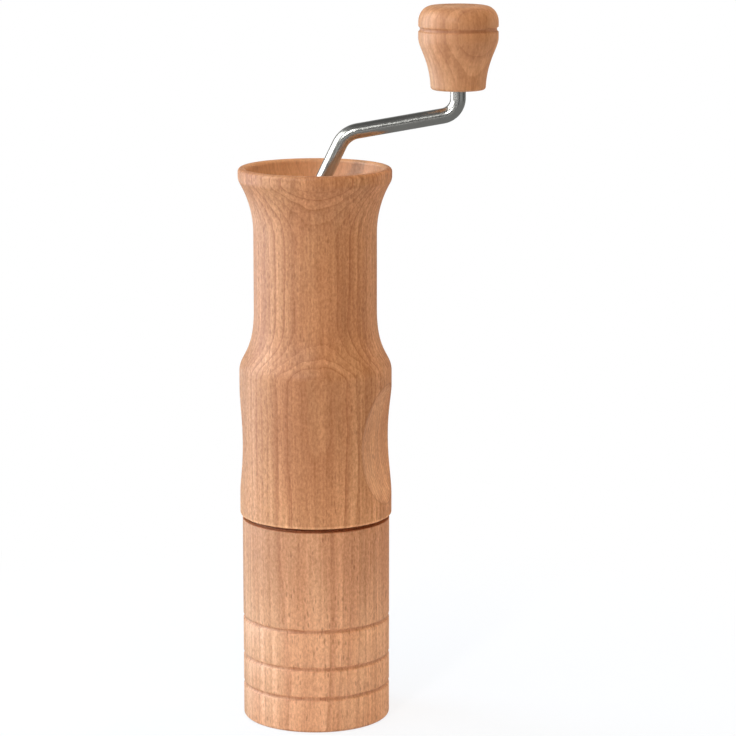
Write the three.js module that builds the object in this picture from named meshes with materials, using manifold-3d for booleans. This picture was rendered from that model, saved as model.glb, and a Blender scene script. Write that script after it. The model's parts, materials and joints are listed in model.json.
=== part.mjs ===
// Hand grain mill: a turned wooden barrel on a wooden grounds jar, a bent steel crank with a
// wooden knob, and a conical burr set on a steel shaft.
// Millimetres, +Z up. The origin is on the mill's axis at the jar's flat base, and at rest the
// crank points along +X.

import * as THREE from 'three';
import { mergeVertices } from 'three/addons/utils/BufferGeometryUtils.js';
import Module from 'manifold-3d';

const wasm = await Module();
wasm.setup();

// Fits, and how round the turned pieces are
const seatGap = 0.3;
const runningGap = 0.1;
const cutOverrun = 1;
const woodSides = 36;
const knobSides = 24;
const metalSides = 16;
const rodSides = 12;
const screwSides = 10;
const hexSides = 6;
const armCount = 3;
const fullTurn = 2 * Math.PI;

// Drive shaft, and the two flats that key the burr to it
const shaftRadius = 3;
const flatHalfWidth = 2.4;
const clipGrooveDepth = 0.7;
const shaftEndLength = 1.5;
const hexStartGap = 1.4;

// Washers, retaining clips and bearing bushes
const washerThickness = 1;
const clipThickness = 1;
const clipWidth = 2.2;
const clipOpening = Math.PI / 3;
const bushWall = 1.1;
const bushFlangeWidth = 1.8;
const bushFlangeThickness = 1;

// Cone burr on its keyed core
const coreWall = 1.9;
const coreFlangeWidth = 3.8;
const coreFlangeThickness = 1.2;
const burrTopWall = 1.6;
const burrToothDepth = 0.9;
const coneTeeth = 12;
const coneSpread = 5.5;
const coneTwist = Math.PI / 5;
const coneBurrHeight = 17;
const coneBurrDrop = 1.5;
const finishingHeight = 5;
const burrGap = 0.45;
const burrTravel = 1.61;

// Ring burr and its retainer
const ringTeeth = 20;
const ringWall = 2.65;
const ringTaper = 1.2;
const ringBurrHeight = 16;
const retainerLip = 0.35;
const retainerThickness = 1.5;
const retainerEarRadius = 2.1;

// Grind adjuster: a lobed nut with a hexagonal thread insert
const adjusterRadius = 10.6;
const adjusterHeight = 6.5;
const adjusterLobes = 12;
const lobeDepth = 0.5;
const insertWall = 2.2;
const insertHeight = 5;
const nutRunout = 0.5;

// Spring between the carrier and the cone burr
const springWire = 0.5;
const springGapToShaft = 1.5;
const springLength = 9.6;
const springTurns = 5;
const springStepsPerTurn = 9;
const springSides = 6;

// Burr carrier: plastic tube, funnel, flange and the spigot for the jar
const carrierWall = 1.2;
const flangeThickness = 3;
const hubWall = 1.8;
const hubHeight = 9;
const armWidth = 4;
const armHeight = 6;
const carrierRise = 3.2;
const funnelRise = 10;
const funnelWall = 2;
const screwRadius = 0.9;
const screwHeadRadius = 1.5;
const screwHeadHeight = 1.3;
const carrierScrewLength = 12;
const screwEdge = 1.5;
const spigotWall = 1.8;
const spigotLength = 9;
const spigotFit = 0.6;
const sealWire = 0.55;
const sealHeightShare = 0.6;

// Grounds jar
const jarHeight = 81;
const jarWall = 4;
const jarFloor = 6;
const jarFloorRound = 3;
const jarBaseRound = 1.4;
const jarGrooveShares = [0.169, 0.316, 0.504];
const jarGrooveWidth = 2;
const jarGrooveDepth = 0.7;
const jointGapHeight = 0.9;
const jointGapDepth = 0.9;

// Mill barrel
const barrelOverhang = 0.9;
const barrelHeight = 138.7;
const barrelEdgeRound = 1;
const carrierLedge = 2.3;
const throatLength = 32.5;
const stayLedge = 2.6;
const neckWall = 4.5;
const shoulderStart = 58.5;
const shoulderHeight = 24.5;
const shoulderStartShare = 0.265;
const shoulderEndShare = 0.73;
const flareHeight = 25.7;
const flareRadius = 40;
const flareSweep = 29.7 * Math.PI / 180;
const lipSideRadius = 5;
const lipRound = 1.6;
const rimWall = 3.3;
const mouthDepth = 25;
const mouthCurveShare = 0.5;
const scoopHeight = 47.5;
const scoopDepth = 5.35;
const scoopRise = 30.8;
const scoopDirection = -18 * Math.PI / 180;
const scoopSides = 64;

// Upper stay
const stayThickness = 3;
const stayHubHeight = 7;
const stayHubDrop = 2;

// Crank: rod, socket and pin
const rodRadius = 3;
const crankReach = 55.4;
const elbowReach = 11.7;
const elbowDrop = 7.7;
const rodTurnDrop = 11.1;
const armLift = 20.9;
const footBend = 9;
const elbowBend = 9.5;
const tipBend = 7;
const bendSteps = 5;
const socketWall = 1.7;
const socketLift = 2;
const hexEngagement = 16;
const socketGrip = 8;
const pinRadius = 1.1;
const pinInset = 0.5;

// Knob
const knobLift = 9.2;
const knobHeight = 32.4;
const knobRadius = 15.5;
const knobFootRadius = 10.7;
const knobFootRound = 1.2;
const knobFlare = 0.5;
const knobWaistShares = [0.355, 0.5, 0.617];
const knobGrooveShare = 0.722;
const knobGrooveWidth = 2;
const knobGrooveDepth = 0.65;
const knobCrownShares = [0.8, 0.9];
const knobCrownInset = 1.9;
const knobTopRadius = 9.5;
const rodEndGap = 0.6;
const collarWidth = 2;
const collarThickness = 1.2;
const collarRecess = 2;
const plugThickness = 4;
const plugRound = 0.8;

// Radii, worked out from the shaft outwards
const shaftBore = shaftRadius + runningGap;
const bushRadius = shaftBore + bushWall;
const bushFlangeRadius = bushRadius + bushFlangeWidth;
const hubBore = bushRadius + seatGap;
const hubRadius = hubBore + hubWall;
const coreRadius = shaftRadius + seatGap + coreWall;
const coneBore = coreRadius + seatGap;
const coneTopRadius = coneBore + burrTopWall + burrToothDepth;
const coneBaseRadius = coneTopRadius + coneSpread;
const ringLandRadius = coneBaseRadius + burrGap;
const ringMouthRadius = ringLandRadius - ringTaper;
const ringBurrRadius = ringLandRadius + burrToothDepth + ringWall;
const pocketRadius = ringBurrRadius + seatGap;
const carrierRadius = pocketRadius + carrierWall;
const counterboreRadius = carrierRadius + seatGap;
const screwCircle = counterboreRadius + screwEdge;
const spigotBore = screwCircle + screwHeadRadius + seatGap;
const spigotRadius = spigotBore + spigotWall;
const jarBore = spigotRadius + spigotFit;
const jarRadius = jarBore + jarWall;
const barrelRadius = jarRadius + barrelOverhang;
const throatRadius = counterboreRadius - carrierLedge;
const hopperRadius = throatRadius + stayLedge;
const neckRadius = hopperRadius + neckWall;
const socketBore = rodRadius + seatGap;
const socketRadius = socketBore + socketWall;

// Heights, worked out from the base upwards
const barrelBase = jarHeight;
const flangeBase = barrelBase - flangeThickness;
const ringBurrTop = flangeBase + ringBurrHeight;
const shoulderLevel = ringBurrTop + seatGap;
const coneBurrBase = flangeBase - coneBurrDrop;
const coneBurrTop = coneBurrBase + coneBurrHeight;
const coreBase = coneBurrBase - seatGap - coreFlangeThickness;
const adjusterTop = coreBase - seatGap;
const adjusterBase = adjusterTop - adjusterHeight;
const endClipBase = adjusterBase - burrTravel - nutRunout - clipThickness;
const shaftBase = endClipBase - shaftEndLength;
const springBase = coneBurrTop + seatGap;
const springSeatBase = springBase + springLength + seatGap;
const hubBase = springSeatBase + washerThickness + seatGap;
const hubTop = hubBase + hubHeight;
const carrierTop = hubTop + carrierRise;
const throatBase = carrierTop + seatGap;
const stayBase = throatBase + throatLength;
const stayHubBase = stayBase - stayHubDrop;
const stayHubTop = stayHubBase + stayHubHeight;
const thrustWasherBase = stayHubTop + bushFlangeThickness + seatGap;
const shaftClipBase = thrustWasherBase + washerThickness + seatGap;
const hexBase = shaftClipBase + clipThickness + hexStartGap;
const socketBase = hexBase + socketLift;
const hexTop = socketBase + hexEngagement;
const rodBase = hexTop + seatGap;
const socketTop = hexTop + socketGrip;
const barrelTop = barrelBase + barrelHeight;
const crankTipHeight = barrelTop + armLift;
const knobBase = crankTipHeight + knobLift;
const knobTop = knobBase + knobHeight;
const rodTop = knobTop - plugThickness - rodEndGap;
const knobClipBase = rodTop - shaftEndLength - clipThickness;
const sleeveTop = knobClipBase - seatGap - bushFlangeThickness;
const sleeveBase = knobBase + collarRecess + seatGap;

// Materials, one for each substance
const finish = (color, roughness, metalness) => ({ color, roughness, metalness });
const barrelWood = finish(0xd2a679, 0.55, 0);
const jarWood = finish(0xdab08a, 0.55, 0);
const steel = finish(0xc9cccf, 0.2, 1);
const ceramic = finish(0xf1efe8, 0.4, 0);
const plastic = finish(0x2f3033, 0.6, 0);
const brass = finish(0xc8a24a, 0.3, 1);
const rubber = finish(0x1c1c1d, 0.85, 0);

// Outline of a turned piece as points (radius, height), walked anticlockwise
class Outline {
  constructor(radius, height) {
    this.points = [new THREE.Vector2(radius, height)];
  }

  to(radius, height) {
    this.points.push(new THREE.Vector2(radius, height));
    return this;
  }

  arc(centreRadius, centreHeight, radius, from, sweep, steps) {
    for (let step = 0; step <= steps; step += 1) {
      const angle = from + sweep * step / steps;
      this.to(centreRadius + radius * Math.cos(angle), centreHeight + radius * Math.sin(angle));
    }
    return this;
  }

  curve(firstHandle, secondHandle, end, steps) {
    const start = this.points[this.points.length - 1].clone();
    const bezier = new THREE.CubicBezierCurve(
      start,
      new THREE.Vector2(...firstHandle),
      new THREE.Vector2(...secondHandle),
      new THREE.Vector2(...end),
    );
    this.points.push(...bezier.getPoints(steps).slice(1));
    return this;
  }

  // A round groove across a side that runs upwards
  groove(radius, height, width, depth, steps) {
    const bend = (width * width / 4 + depth * depth) / (2 * depth);
    const half = Math.asin(width / 2 / bend);
    return this.arc(radius - depth + bend, height, bend, Math.PI + half, -2 * half, steps);
  }

  close() {
    this.points.push(this.points[0].clone());
    return this;
  }
}

// Position-only geometry with shared vertices and no collapsed triangles
function weld(geometry) {
  const bare = new THREE.BufferGeometry();
  bare.setAttribute('position', geometry.getAttribute('position').clone());
  if (geometry.index) bare.setIndex(geometry.index.clone());
  const merged = mergeVertices(bare);
  const corners = merged.index.array;
  const kept = [];
  for (let i = 0; i < corners.length; i += 3) {
    const [a, b, c] = corners.slice(i, i + 3);
    if (a !== b && b !== c && c !== a) kept.push(a, b, c);
  }
  merged.setIndex(kept);
  return merged;
}

function solid(geometry) {
  const closed = weld(geometry);
  return new wasm.Manifold(new wasm.Mesh({
    numProp: 3,
    vertProperties: new Float32Array(closed.getAttribute('position').array),
    triVerts: new Uint32Array(closed.index.array),
  }));
}

function geometryOf(manifold) {
  const { vertProperties, triVerts } = manifold.getMesh();
  const geometry = new THREE.BufferGeometry();
  geometry.setAttribute('position', new THREE.BufferAttribute(new Float32Array(vertProperties), 3));
  geometry.setIndex(new THREE.BufferAttribute(new Uint32Array(triVerts), 1));
  return geometry;
}

function cut(geometry, ...cutters) {
  return geometryOf(cutters.reduce((rest, cutter) => rest.subtract(solid(cutter)), solid(geometry)));
}

function join(geometry, ...others) {
  return geometryOf(others.reduce((whole, other) => whole.add(solid(other)), solid(geometry)));
}

// Turned solid about +Z
function turned(outline, sides) {
  return new THREE.LatheGeometry(outline.points, sides).rotateX(Math.PI / 2);
}

function disc(radius, base, top, sides) {
  return turned(new Outline(0, base).to(radius, base).to(radius, top).to(0, top), sides);
}

function ring(innerRadius, outerRadius, base, top, sides) {
  const outline = new Outline(innerRadius, base).to(outerRadius, base);
  return turned(outline.to(outerRadius, top).to(innerRadius, top).close(), sides);
}

function box(width, depth, height, x, y, base) {
  return new THREE.BoxGeometry(width, depth, height).translate(x, y, base + height / 2);
}

// The places of equal pieces round the axis, the first at the start angle
function around(count, start) {
  return Array.from({ length: count }, (_, index) => start + fullTurn * index / count);
}

function atAngle(geometry, radius, angle) {
  return geometry.translate(radius * Math.cos(angle), radius * Math.sin(angle), 0);
}

// Gear-shaped sections stacked into one solid; a section's tooth is a land and then a groove
function flutedSolid(sections, teeth, grooveDepth) {
  const landShares = [0, 0.5];
  const grooveShares = [0.62, 0.88];
  const vertices = [];
  for (const { height, radius, turn } of sections) {
    for (const start of around(teeth, turn)) {
      for (const share of landShares) {
        const angle = start + share * fullTurn / teeth;
        vertices.push(radius * Math.cos(angle), radius * Math.sin(angle), height);
      }
      for (const share of grooveShares) {
        const angle = start + share * fullTurn / teeth;
        const depth = radius + grooveDepth;
        vertices.push(depth * Math.cos(angle), depth * Math.sin(angle), height);
      }
    }
  }
  const count = teeth * (landShares.length + grooveShares.length);
  const lowCentre = vertices.length / 3;
  const last = sections.length - 1;
  vertices.push(0, 0, sections[0].height, 0, 0, sections[last].height);
  const faces = [];
  for (let i = 0; i < count; i += 1) {
    const next = (i + 1) % count;
    faces.push(lowCentre, next, i);
    faces.push(lowCentre + 1, last * count + i, last * count + next);
    for (let level = 0; level < last; level += 1) {
      const low = level * count;
      const high = low + count;
      faces.push(low + i, low + next, high + next, low + i, high + next, high + i);
    }
  }
  const geometry = new THREE.BufferGeometry();
  geometry.setAttribute('position', new THREE.Float32BufferAttribute(vertices, 3));
  geometry.setIndex(faces);
  return geometry;
}

// A path of chosen stations, so that a swept rod has sections only where it needs them
class StationPath extends THREE.Curve {
  constructor(stations) {
    super();
    this.stations = stations;
  }

  station(share) {
    return this.stations[Math.round(share * (this.stations.length - 1))];
  }

  getPointAt(share) {
    return this.station(share).point.clone();
  }

  getTangentAt(share) {
    return this.station(share).tangent.clone();
  }
}

function swept(stations, radius, sides) {
  const section = new THREE.Shape();
  around(sides, 0).forEach((angle, index) => {
    const place = [radius * Math.cos(angle), radius * Math.sin(angle)];
    if (index === 0) section.moveTo(...place);
    else section.lineTo(...place);
  });
  const extrudePath = new StationPath(stations);
  return new THREE.ExtrudeGeometry(section, { steps: stations.length - 1, extrudePath });
}

// Stations along straight runs in the XZ plane with a round bend at each corner
function bentStations(start, corners, end) {
  const places = [start, ...corners.map((corner) => corner.place), end];
  const toward = (from, to) => to.clone().sub(from).normalize();
  const stations = [{ point: start, tangent: toward(start, places[1]) }];
  corners.forEach(({ place, bend }, index) => {
    const before = toward(places[index], place);
    const after = toward(place, places[index + 2]);
    const turn = before.angleTo(after);
    const setback = bend * Math.tan(turn / 2);
    const inward = after.clone().sub(before).normalize();
    const centre = place.clone().addScaledVector(inward, Math.hypot(bend, setback));
    const axis = before.clone().cross(after).normalize();
    const firstArm = place.clone().addScaledVector(before, -setback).sub(centre);
    for (let step = 0; step <= bendSteps; step += 1) {
      const angle = turn * step / bendSteps;
      stations.push({
        point: centre.clone().add(firstArm.clone().applyAxisAngle(axis, angle)),
        tangent: before.clone().applyAxisAngle(axis, angle),
      });
    }
  });
  stations.push({ point: end, tangent: toward(places[places.length - 2], end) });
  return stations;
}

// A sleeve with a flange on top; height 0 is the face that the flange rests on
function bush(sleeveLength) {
  const outline = new Outline(shaftBore, -sleeveLength)
    .to(bushRadius, -sleeveLength)
    .to(bushRadius, 0)
    .to(bushFlangeRadius, 0)
    .to(bushFlangeRadius, bushFlangeThickness)
    .to(shaftBore, bushFlangeThickness)
    .close();
  return turned(outline, metalSides);
}

// Retaining clip with an open side, for a groove in a rod or shaft
function retainingClip(grooveRadius) {
  const inner = grooveRadius + seatGap;
  const outer = inner + clipWidth;
  const shape = new THREE.Shape();
  shape.absarc(0, 0, outer, clipOpening / 2, fullTurn - clipOpening / 2, false);
  shape.absarc(0, 0, inner, fullTurn - clipOpening / 2, clipOpening / 2, true);
  return new THREE.ExtrudeGeometry(shape, {
    depth: clipThickness, bevelEnabled: false, curveSegments: metalSides / 2,
  });
}

// Ring cutter that leaves a groove for a retaining clip, with its top face on the clip's
function clipGroove(radius, clipBase) {
  const top = clipBase + clipThickness + seatGap;
  return ring(radius - clipGrooveDepth, radius + cutOverrun, clipBase - seatGap, top, metalSides);
}

function screw(length) {
  const headRound = screwHeadHeight / 2;
  const outline = new Outline(0, -screwHeadHeight)
    .to(screwHeadRadius - headRound, -screwHeadHeight)
    .to(screwHeadRadius, -headRound)
    .to(screwHeadRadius, 0)
    .to(screwRadius, 0)
    .to(screwRadius, length - screwRadius)
    .to(0, length);
  return turned(outline, screwSides);
}

// Hub on three arms; what the arms reach is joined by the caller
function spiderArms(reach, armBase, height, hubLow, hubHigh) {
  const arms = around(armCount, 0).map((angle) => (
    box(reach, armWidth, height, reach / 2, 0, armBase).rotateZ(angle)
  ));
  return [disc(hubRadius, hubLow, hubHigh, metalSides), ...arms];
}

function groundsJar() {
  const outline = new Outline(0, 0)
    .arc(jarRadius - jarBaseRound, jarBaseRound, jarBaseRound, -Math.PI / 2, Math.PI / 2, 3);
  for (const share of jarGrooveShares) {
    outline.groove(jarRadius, share * jarHeight, jarGrooveWidth, jarGrooveDepth, 4);
  }
  outline
    .to(jarRadius, jarHeight - jointGapHeight)
    .to(jarRadius - jointGapDepth, jarHeight - jointGapHeight)
    .to(jarRadius - jointGapDepth, jarHeight)
    .to(jarBore, jarHeight)
    .arc(jarBore - jarFloorRound, jarFloor + jarFloorRound, jarFloorRound, 0, -Math.PI / 2, 3)
    .to(0, jarFloor);
  return turned(outline, woodSides);
}

// A level cylinder that scoops a finger grip out of one side of the barrel
function scoopCutter(direction) {
  const bend = (scoopHeight * scoopHeight / 4 + scoopDepth * scoopDepth) / (2 * scoopDepth);
  const distance = barrelRadius - scoopDepth + bend;
  return new THREE.CylinderGeometry(bend, bend, 2 * barrelRadius, scoopSides)
    .translate(distance, 0, barrelBase + scoopRise)
    .rotateZ(direction);
}

function millBarrel() {
  const neckBase = barrelBase + shoulderStart + shoulderHeight;
  const shoulderBase = barrelBase + shoulderStart;
  const neckTop = barrelTop - flareHeight;
  const flareEnd = flareRadius * (1 - Math.cos(flareSweep));
  const flareRise = flareRadius * Math.sin(flareSweep);
  const sideCentre = neckRadius + flareEnd - lipSideRadius * Math.cos(flareSweep);
  const sideLevel = neckTop + flareRise + lipSideRadius * Math.sin(flareSweep);
  const rimRadius = sideCentre + lipSideRadius;
  const lipLevel = barrelTop - lipRound;
  const mouthRadius = rimRadius - rimWall;
  const mouthBase = barrelTop - mouthDepth;
  const mouthMiddle = mouthBase + mouthCurveShare * mouthDepth;
  const outline = new Outline(counterboreRadius, barrelBase)
    .arc(barrelRadius - barrelEdgeRound, barrelBase + barrelEdgeRound, barrelEdgeRound,
      -Math.PI / 2, Math.PI / 2, 2)
    .to(barrelRadius, shoulderBase)
    .curve([barrelRadius, shoulderBase + shoulderStartShare * shoulderHeight],
      [neckRadius, neckBase - shoulderEndShare * shoulderHeight], [neckRadius, neckBase], 8)
    .to(neckRadius, neckTop)
    .arc(neckRadius + flareRadius, neckTop, flareRadius, Math.PI, -flareSweep, 4)
    .arc(sideCentre, sideLevel, lipSideRadius, -flareSweep, flareSweep, 1)
    .arc(rimRadius - lipRound, lipLevel, lipRound, 0, Math.PI / 2, 2)
    .arc(mouthRadius + lipRound, lipLevel, lipRound, Math.PI / 2, Math.PI / 2, 2)
    .curve([mouthRadius - lipRound, mouthMiddle], [hopperRadius, mouthMiddle],
      [hopperRadius, mouthBase], 4)
    .to(hopperRadius, stayBase)
    .to(throatRadius, stayBase)
    .to(throatRadius, throatBase)
    .to(counterboreRadius, throatBase)
    .close();
  const scoops = [scoopDirection, scoopDirection + Math.PI].map(scoopCutter);
  const screwHoles = carrierScrewAngles.map((angle) => atAngle(
    disc(screwRadius + seatGap, barrelBase - cutOverrun, flangeBase + carrierScrewLength + seatGap,
      screwSides), screwCircle, angle));
  return cut(turned(outline, woodSides), ...scoops, ...screwHoles);
}

const carrierScrewAngles = around(armCount, Math.PI / 6);
const retainerScrewAngles = around(armCount, Math.PI / 2);
const retainerScrewCircle = spigotBore - seatGap - retainerEarRadius;
const retainerScrewLength = retainerThickness + flangeThickness - seatGap;
const sealLevel = flangeBase - spigotLength + sealHeightShare * spigotLength;
const sealRingRadius = jarBore - seatGap - sealWire;

function burrCarrier() {
  const spigotBase = flangeBase - spigotLength;
  const funnelTop = shoulderLevel + funnelRise;
  const grooveRadius = sealRingRadius - sealWire - seatGap;
  const grooveHalf = sealWire + seatGap;
  const outline = new Outline(pocketRadius, flangeBase)
    .to(spigotBore, flangeBase)
    .to(spigotBore, spigotBase)
    .to(spigotRadius - spigotWall / 2, spigotBase)
    .to(spigotRadius, spigotBase + spigotWall / 2)
    .to(spigotRadius, sealLevel - grooveHalf)
    .to(grooveRadius, sealLevel - grooveHalf)
    .to(grooveRadius, sealLevel + grooveHalf)
    .to(spigotRadius, sealLevel + grooveHalf)
    .to(spigotRadius, barrelBase)
    .to(carrierRadius, barrelBase)
    .to(carrierRadius, carrierTop)
    .to(pocketRadius, carrierTop)
    .to(pocketRadius, funnelTop)
    .to(ringMouthRadius + burrToothDepth, shoulderLevel + funnelWall)
    .to(ringMouthRadius + burrToothDepth, shoulderLevel)
    .to(pocketRadius, shoulderLevel)
    .close();
  const armBase = hubTop - armHeight;
  const reach = pocketRadius + carrierWall / 2;
  const body = join(turned(outline, woodSides),
    ...spiderArms(reach, armBase, armHeight, hubBase, hubTop));
  const bore = disc(hubBore, hubBase - cutOverrun, hubTop + cutOverrun, metalSides);
  const holeBase = flangeBase - cutOverrun;
  const carrierHoles = carrierScrewAngles.map((angle) => atAngle(
    disc(screwRadius + seatGap, holeBase, barrelBase + cutOverrun, screwSides), screwCircle, angle));
  const retainerHoles = retainerScrewAngles.map((angle) => atAngle(
    disc(screwRadius + seatGap, holeBase, barrelBase + cutOverrun, screwSides),
    retainerScrewCircle, angle));
  return cut(body, bore, ...carrierHoles, ...retainerHoles);
}

function sealRing() {
  const outline = new Outline(sealRingRadius + sealWire, sealLevel);
  const corners = around(hexSides, 0).slice(1);
  for (const angle of corners) {
    outline.to(sealRingRadius + sealWire * Math.cos(angle), sealLevel + sealWire * Math.sin(angle));
  }
  return turned(outline.close(), woodSides);
}

function ringBurr() {
  const land = finishingHeight - coneBurrDrop;
  const sections = [
    { height: -cutOverrun, radius: ringLandRadius, turn: 0 },
    { height: land, radius: ringLandRadius, turn: 0 },
    { height: ringBurrHeight, radius: ringMouthRadius, turn: 0 },
    { height: ringBurrHeight + cutOverrun, radius: ringMouthRadius, turn: 0 },
  ];
  const body = disc(ringBurrRadius, 0, ringBurrHeight, woodSides);
  return cut(body, flutedSolid(sections, ringTeeth, burrToothDepth));
}

function burrRetainer() {
  const inner = ringLandRadius + burrToothDepth + retainerLip;
  const outer = pocketRadius + carrierWall / 2;
  const ears = retainerScrewAngles.map((angle) => atAngle(
    disc(retainerEarRadius, 0, retainerThickness, metalSides), retainerScrewCircle, angle));
  const holes = retainerScrewAngles.map((angle) => atAngle(
    disc(screwRadius + seatGap, -cutOverrun, retainerThickness + cutOverrun, screwSides),
    retainerScrewCircle, angle));
  const opening = disc(inner, -cutOverrun, retainerThickness + cutOverrun, woodSides);
  return cut(join(disc(outer, 0, retainerThickness, woodSides), ...ears), opening, ...holes);
}

function coneBurr() {
  const rise = coneBurrHeight - finishingHeight;
  const middleShare = 0.5;
  const middle = coneBaseRadius - middleShare * coneSpread;
  const sections = [
    { height: 0, radius: coneBaseRadius, turn: 0 },
    { height: finishingHeight, radius: coneBaseRadius, turn: 0 },
    { height: finishingHeight + middleShare * rise, radius: middle, turn: middleShare * coneTwist },
    { height: coneBurrHeight, radius: coneTopRadius, turn: coneTwist },
  ];
  const bore = disc(coneBore, -cutOverrun, coneBurrHeight + cutOverrun, metalSides);
  return cut(flutedSolid(sections, coneTeeth, -burrToothDepth), bore);
}

// Two boxes that leave the flats on a round bar
function flatCutters(halfWidth, base, top) {
  const reach = 2 * shaftRadius;
  return [-1, 1].map((side) => (
    box(reach, 2 * reach, top - base, side * (halfWidth + reach / 2), 0, base)
  ));
}

function burrCore() {
  const top = coreFlangeThickness + seatGap + coneBurrHeight;
  const body = join(disc(coreRadius + coreFlangeWidth, 0, coreFlangeThickness, metalSides),
    disc(coreRadius, 0, top, metalSides));
  const base = -cutOverrun;
  const roundBore = disc(shaftRadius + seatGap, base, top + cutOverrun, metalSides);
  const keyedBore = cut(roundBore,
    ...flatCutters(flatHalfWidth + seatGap, base - cutOverrun, top + 2 * cutOverrun));
  return cut(body, keyedBore);
}

function adjuster() {
  const shape = new THREE.Shape();
  const pointsPerLobe = 4;
  around(adjusterLobes * pointsPerLobe, 0).forEach((angle, index) => {
    const radius = adjusterRadius + lobeDepth * Math.cos(adjusterLobes * angle);
    const place = [radius * Math.cos(angle), radius * Math.sin(angle)];
    if (index === 0) shape.moveTo(...place);
    else shape.lineTo(...place);
  });
  const body = new THREE.ExtrudeGeometry(shape, { depth: adjusterHeight, bevelEnabled: false });
  const pocketBase = adjusterHeight - insertHeight - seatGap;
  const pocket = disc(insertRadius + seatGap, pocketBase, adjusterHeight + cutOverrun, hexSides);
  const bore = disc(shaftRadius + 2 * seatGap, -cutOverrun, adjusterHeight + cutOverrun, metalSides);
  return cut(body, pocket, bore);
}

const insertRadius = shaftRadius + seatGap + insertWall;

function adjusterInsert() {
  const bore = disc(shaftRadius + seatGap, -cutOverrun, insertHeight + cutOverrun, metalSides);
  return cut(disc(insertRadius, 0, insertHeight, hexSides), bore);
}

// The spring's centre line, straight up at both ends so that the wire is cut square
function burrSpring() {
  const coilRadius = shaftRadius + springGapToShaft + springWire;
  const climb = springLength - 2 * springWire;
  const steps = springTurns * springStepsPerTurn;
  const stations = [];
  for (let step = 0; step <= steps; step += 1) {
    const angle = fullTurn * springTurns * step / steps;
    const height = springWire + climb * step / steps;
    const point = new THREE.Vector3(coilRadius * Math.cos(angle), coilRadius * Math.sin(angle), height);
    const slope = climb / (fullTurn * springTurns * coilRadius);
    const tangent = new THREE.Vector3(-Math.sin(angle), Math.cos(angle), slope).normalize();
    stations.push({ point, tangent });
  }
  const gap = climb / springTurns - 2 * springWire;
  console.log('least gap between the spring turns', gap.toFixed(2), 'mm');
  return swept(stations, springWire, springSides);
}

function driveShaft() {
  const hexTurn = fullTurn / hexSides / 2;
  const roundBar = disc(shaftRadius, shaftBase, hexBase, metalSides);
  const hexBar = disc(shaftRadius, hexBase, hexTop, hexSides).rotateZ(hexTurn);
  const bar = join(roundBar, hexBar);
  return cut(bar,
    ...flatCutters(flatHalfWidth, shaftBase - cutOverrun, coneBurrTop),
    clipGroove(shaftRadius, endClipBase),
    clipGroove(shaftRadius, shaftClipBase));
}

function upperStay() {
  const reach = throatRadius + stayLedge / 2;
  const rim = ring(throatRadius, hopperRadius - seatGap, stayBase, stayBase + stayThickness, woodSides);
  const body = join(rim,
    ...spiderArms(reach, stayBase, stayThickness, stayHubBase, stayHubTop));
  return cut(body, disc(hubBore, stayHubBase - cutOverrun, stayHubTop + cutOverrun, metalSides));
}

function crankRod() {
  const at = (x, height) => new THREE.Vector3(x, 0, height);
  const stations = bentStations(at(0, rodBase), [
    { place: at(0, barrelTop - rodTurnDrop), bend: footBend },
    { place: at(elbowReach, crankTipHeight - elbowDrop), bend: elbowBend },
    { place: at(crankReach, crankTipHeight), bend: tipBend },
  ], at(crankReach, rodTop));
  const clipCut = clipGroove(rodRadius, knobClipBase).translate(crankReach, 0, 0);
  return cut(swept(stations, rodRadius, rodSides), pinHole(), clipCut);
}

const pinLevel = (rodBase + socketTop) / 2;

function levelBar(radius, length) {
  return new THREE.CylinderGeometry(radius, radius, length, rodSides).translate(0, 0, pinLevel);
}

function pinHole() {
  return levelBar(pinRadius + seatGap, 2 * (socketRadius + cutOverrun));
}

function driveSocket() {
  const hexTurn = fullTurn / hexSides / 2;
  const body = disc(socketRadius, socketBase, socketTop, metalSides);
  const hexBore = disc(shaftRadius + seatGap, socketBase - cutOverrun, rodBase, hexSides);
  const rodBore = disc(socketBore, hexTop, socketTop + cutOverrun, metalSides);
  return cut(body, hexBore.rotateZ(hexTurn), rodBore, pinHole());
}

function socketPin() {
  return levelBar(pinRadius, 2 * (socketRadius - pinInset));
}

const knobBore = bushRadius + seatGap;
const plugRecess = bushFlangeRadius + seatGap;
const collarRadius = rodRadius + seatGap + collarWidth;

function knob() {
  const grooveLevel = knobGrooveShare * knobHeight;
  const [lowWaist, highWaist, widest] = knobWaistShares.map((share) => share * knobHeight);
  const [crownBase, crownHandle] = knobCrownShares.map((share) => share * knobHeight);
  const recessFloor = sleeveTop - knobBase;
  const outline = new Outline(collarRadius + seatGap, 0)
    .arc(knobFootRadius - knobFootRound, knobFootRound, knobFootRound, -Math.PI / 2, Math.PI / 2, 2)
    .curve([knobFootRadius + knobFlare, lowWaist], [knobRadius, highWaist], [knobRadius, widest], 6)
    .groove(knobRadius, grooveLevel, knobGrooveWidth, knobGrooveDepth, 2)
    .to(knobRadius, crownBase)
    .curve([knobRadius, crownHandle], [knobRadius - knobCrownInset, knobHeight],
      [knobTopRadius, knobHeight], 5)
    .to(plugRecess, knobHeight)
    .to(plugRecess, recessFloor)
    .to(knobBore, recessFloor)
    .to(knobBore, collarRecess)
    .to(collarRadius + seatGap, collarRecess)
    .close();
  return turned(outline, knobSides);
}

function knobPlug() {
  const radius = plugRecess - seatGap;
  const outline = new Outline(0, -plugThickness)
    .to(radius, -plugThickness)
    .to(radius, -plugRound)
    .to(radius - plugRound, 0)
    .to(0, 0);
  return turned(outline, knobSides);
}

function knobCollar() {
  return ring(rodRadius + seatGap, collarRadius, 0, collarThickness, metalSides);
}

// Assembly
const mill = new THREE.Group();

function add(name, geometry, material, place = [0, 0, 0]) {
  const mesh = new THREE.Mesh(weld(geometry), new THREE.MeshStandardMaterial(material));
  mesh.name = name;
  mesh.position.set(...place);
  mill.add(mesh);
}

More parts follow.
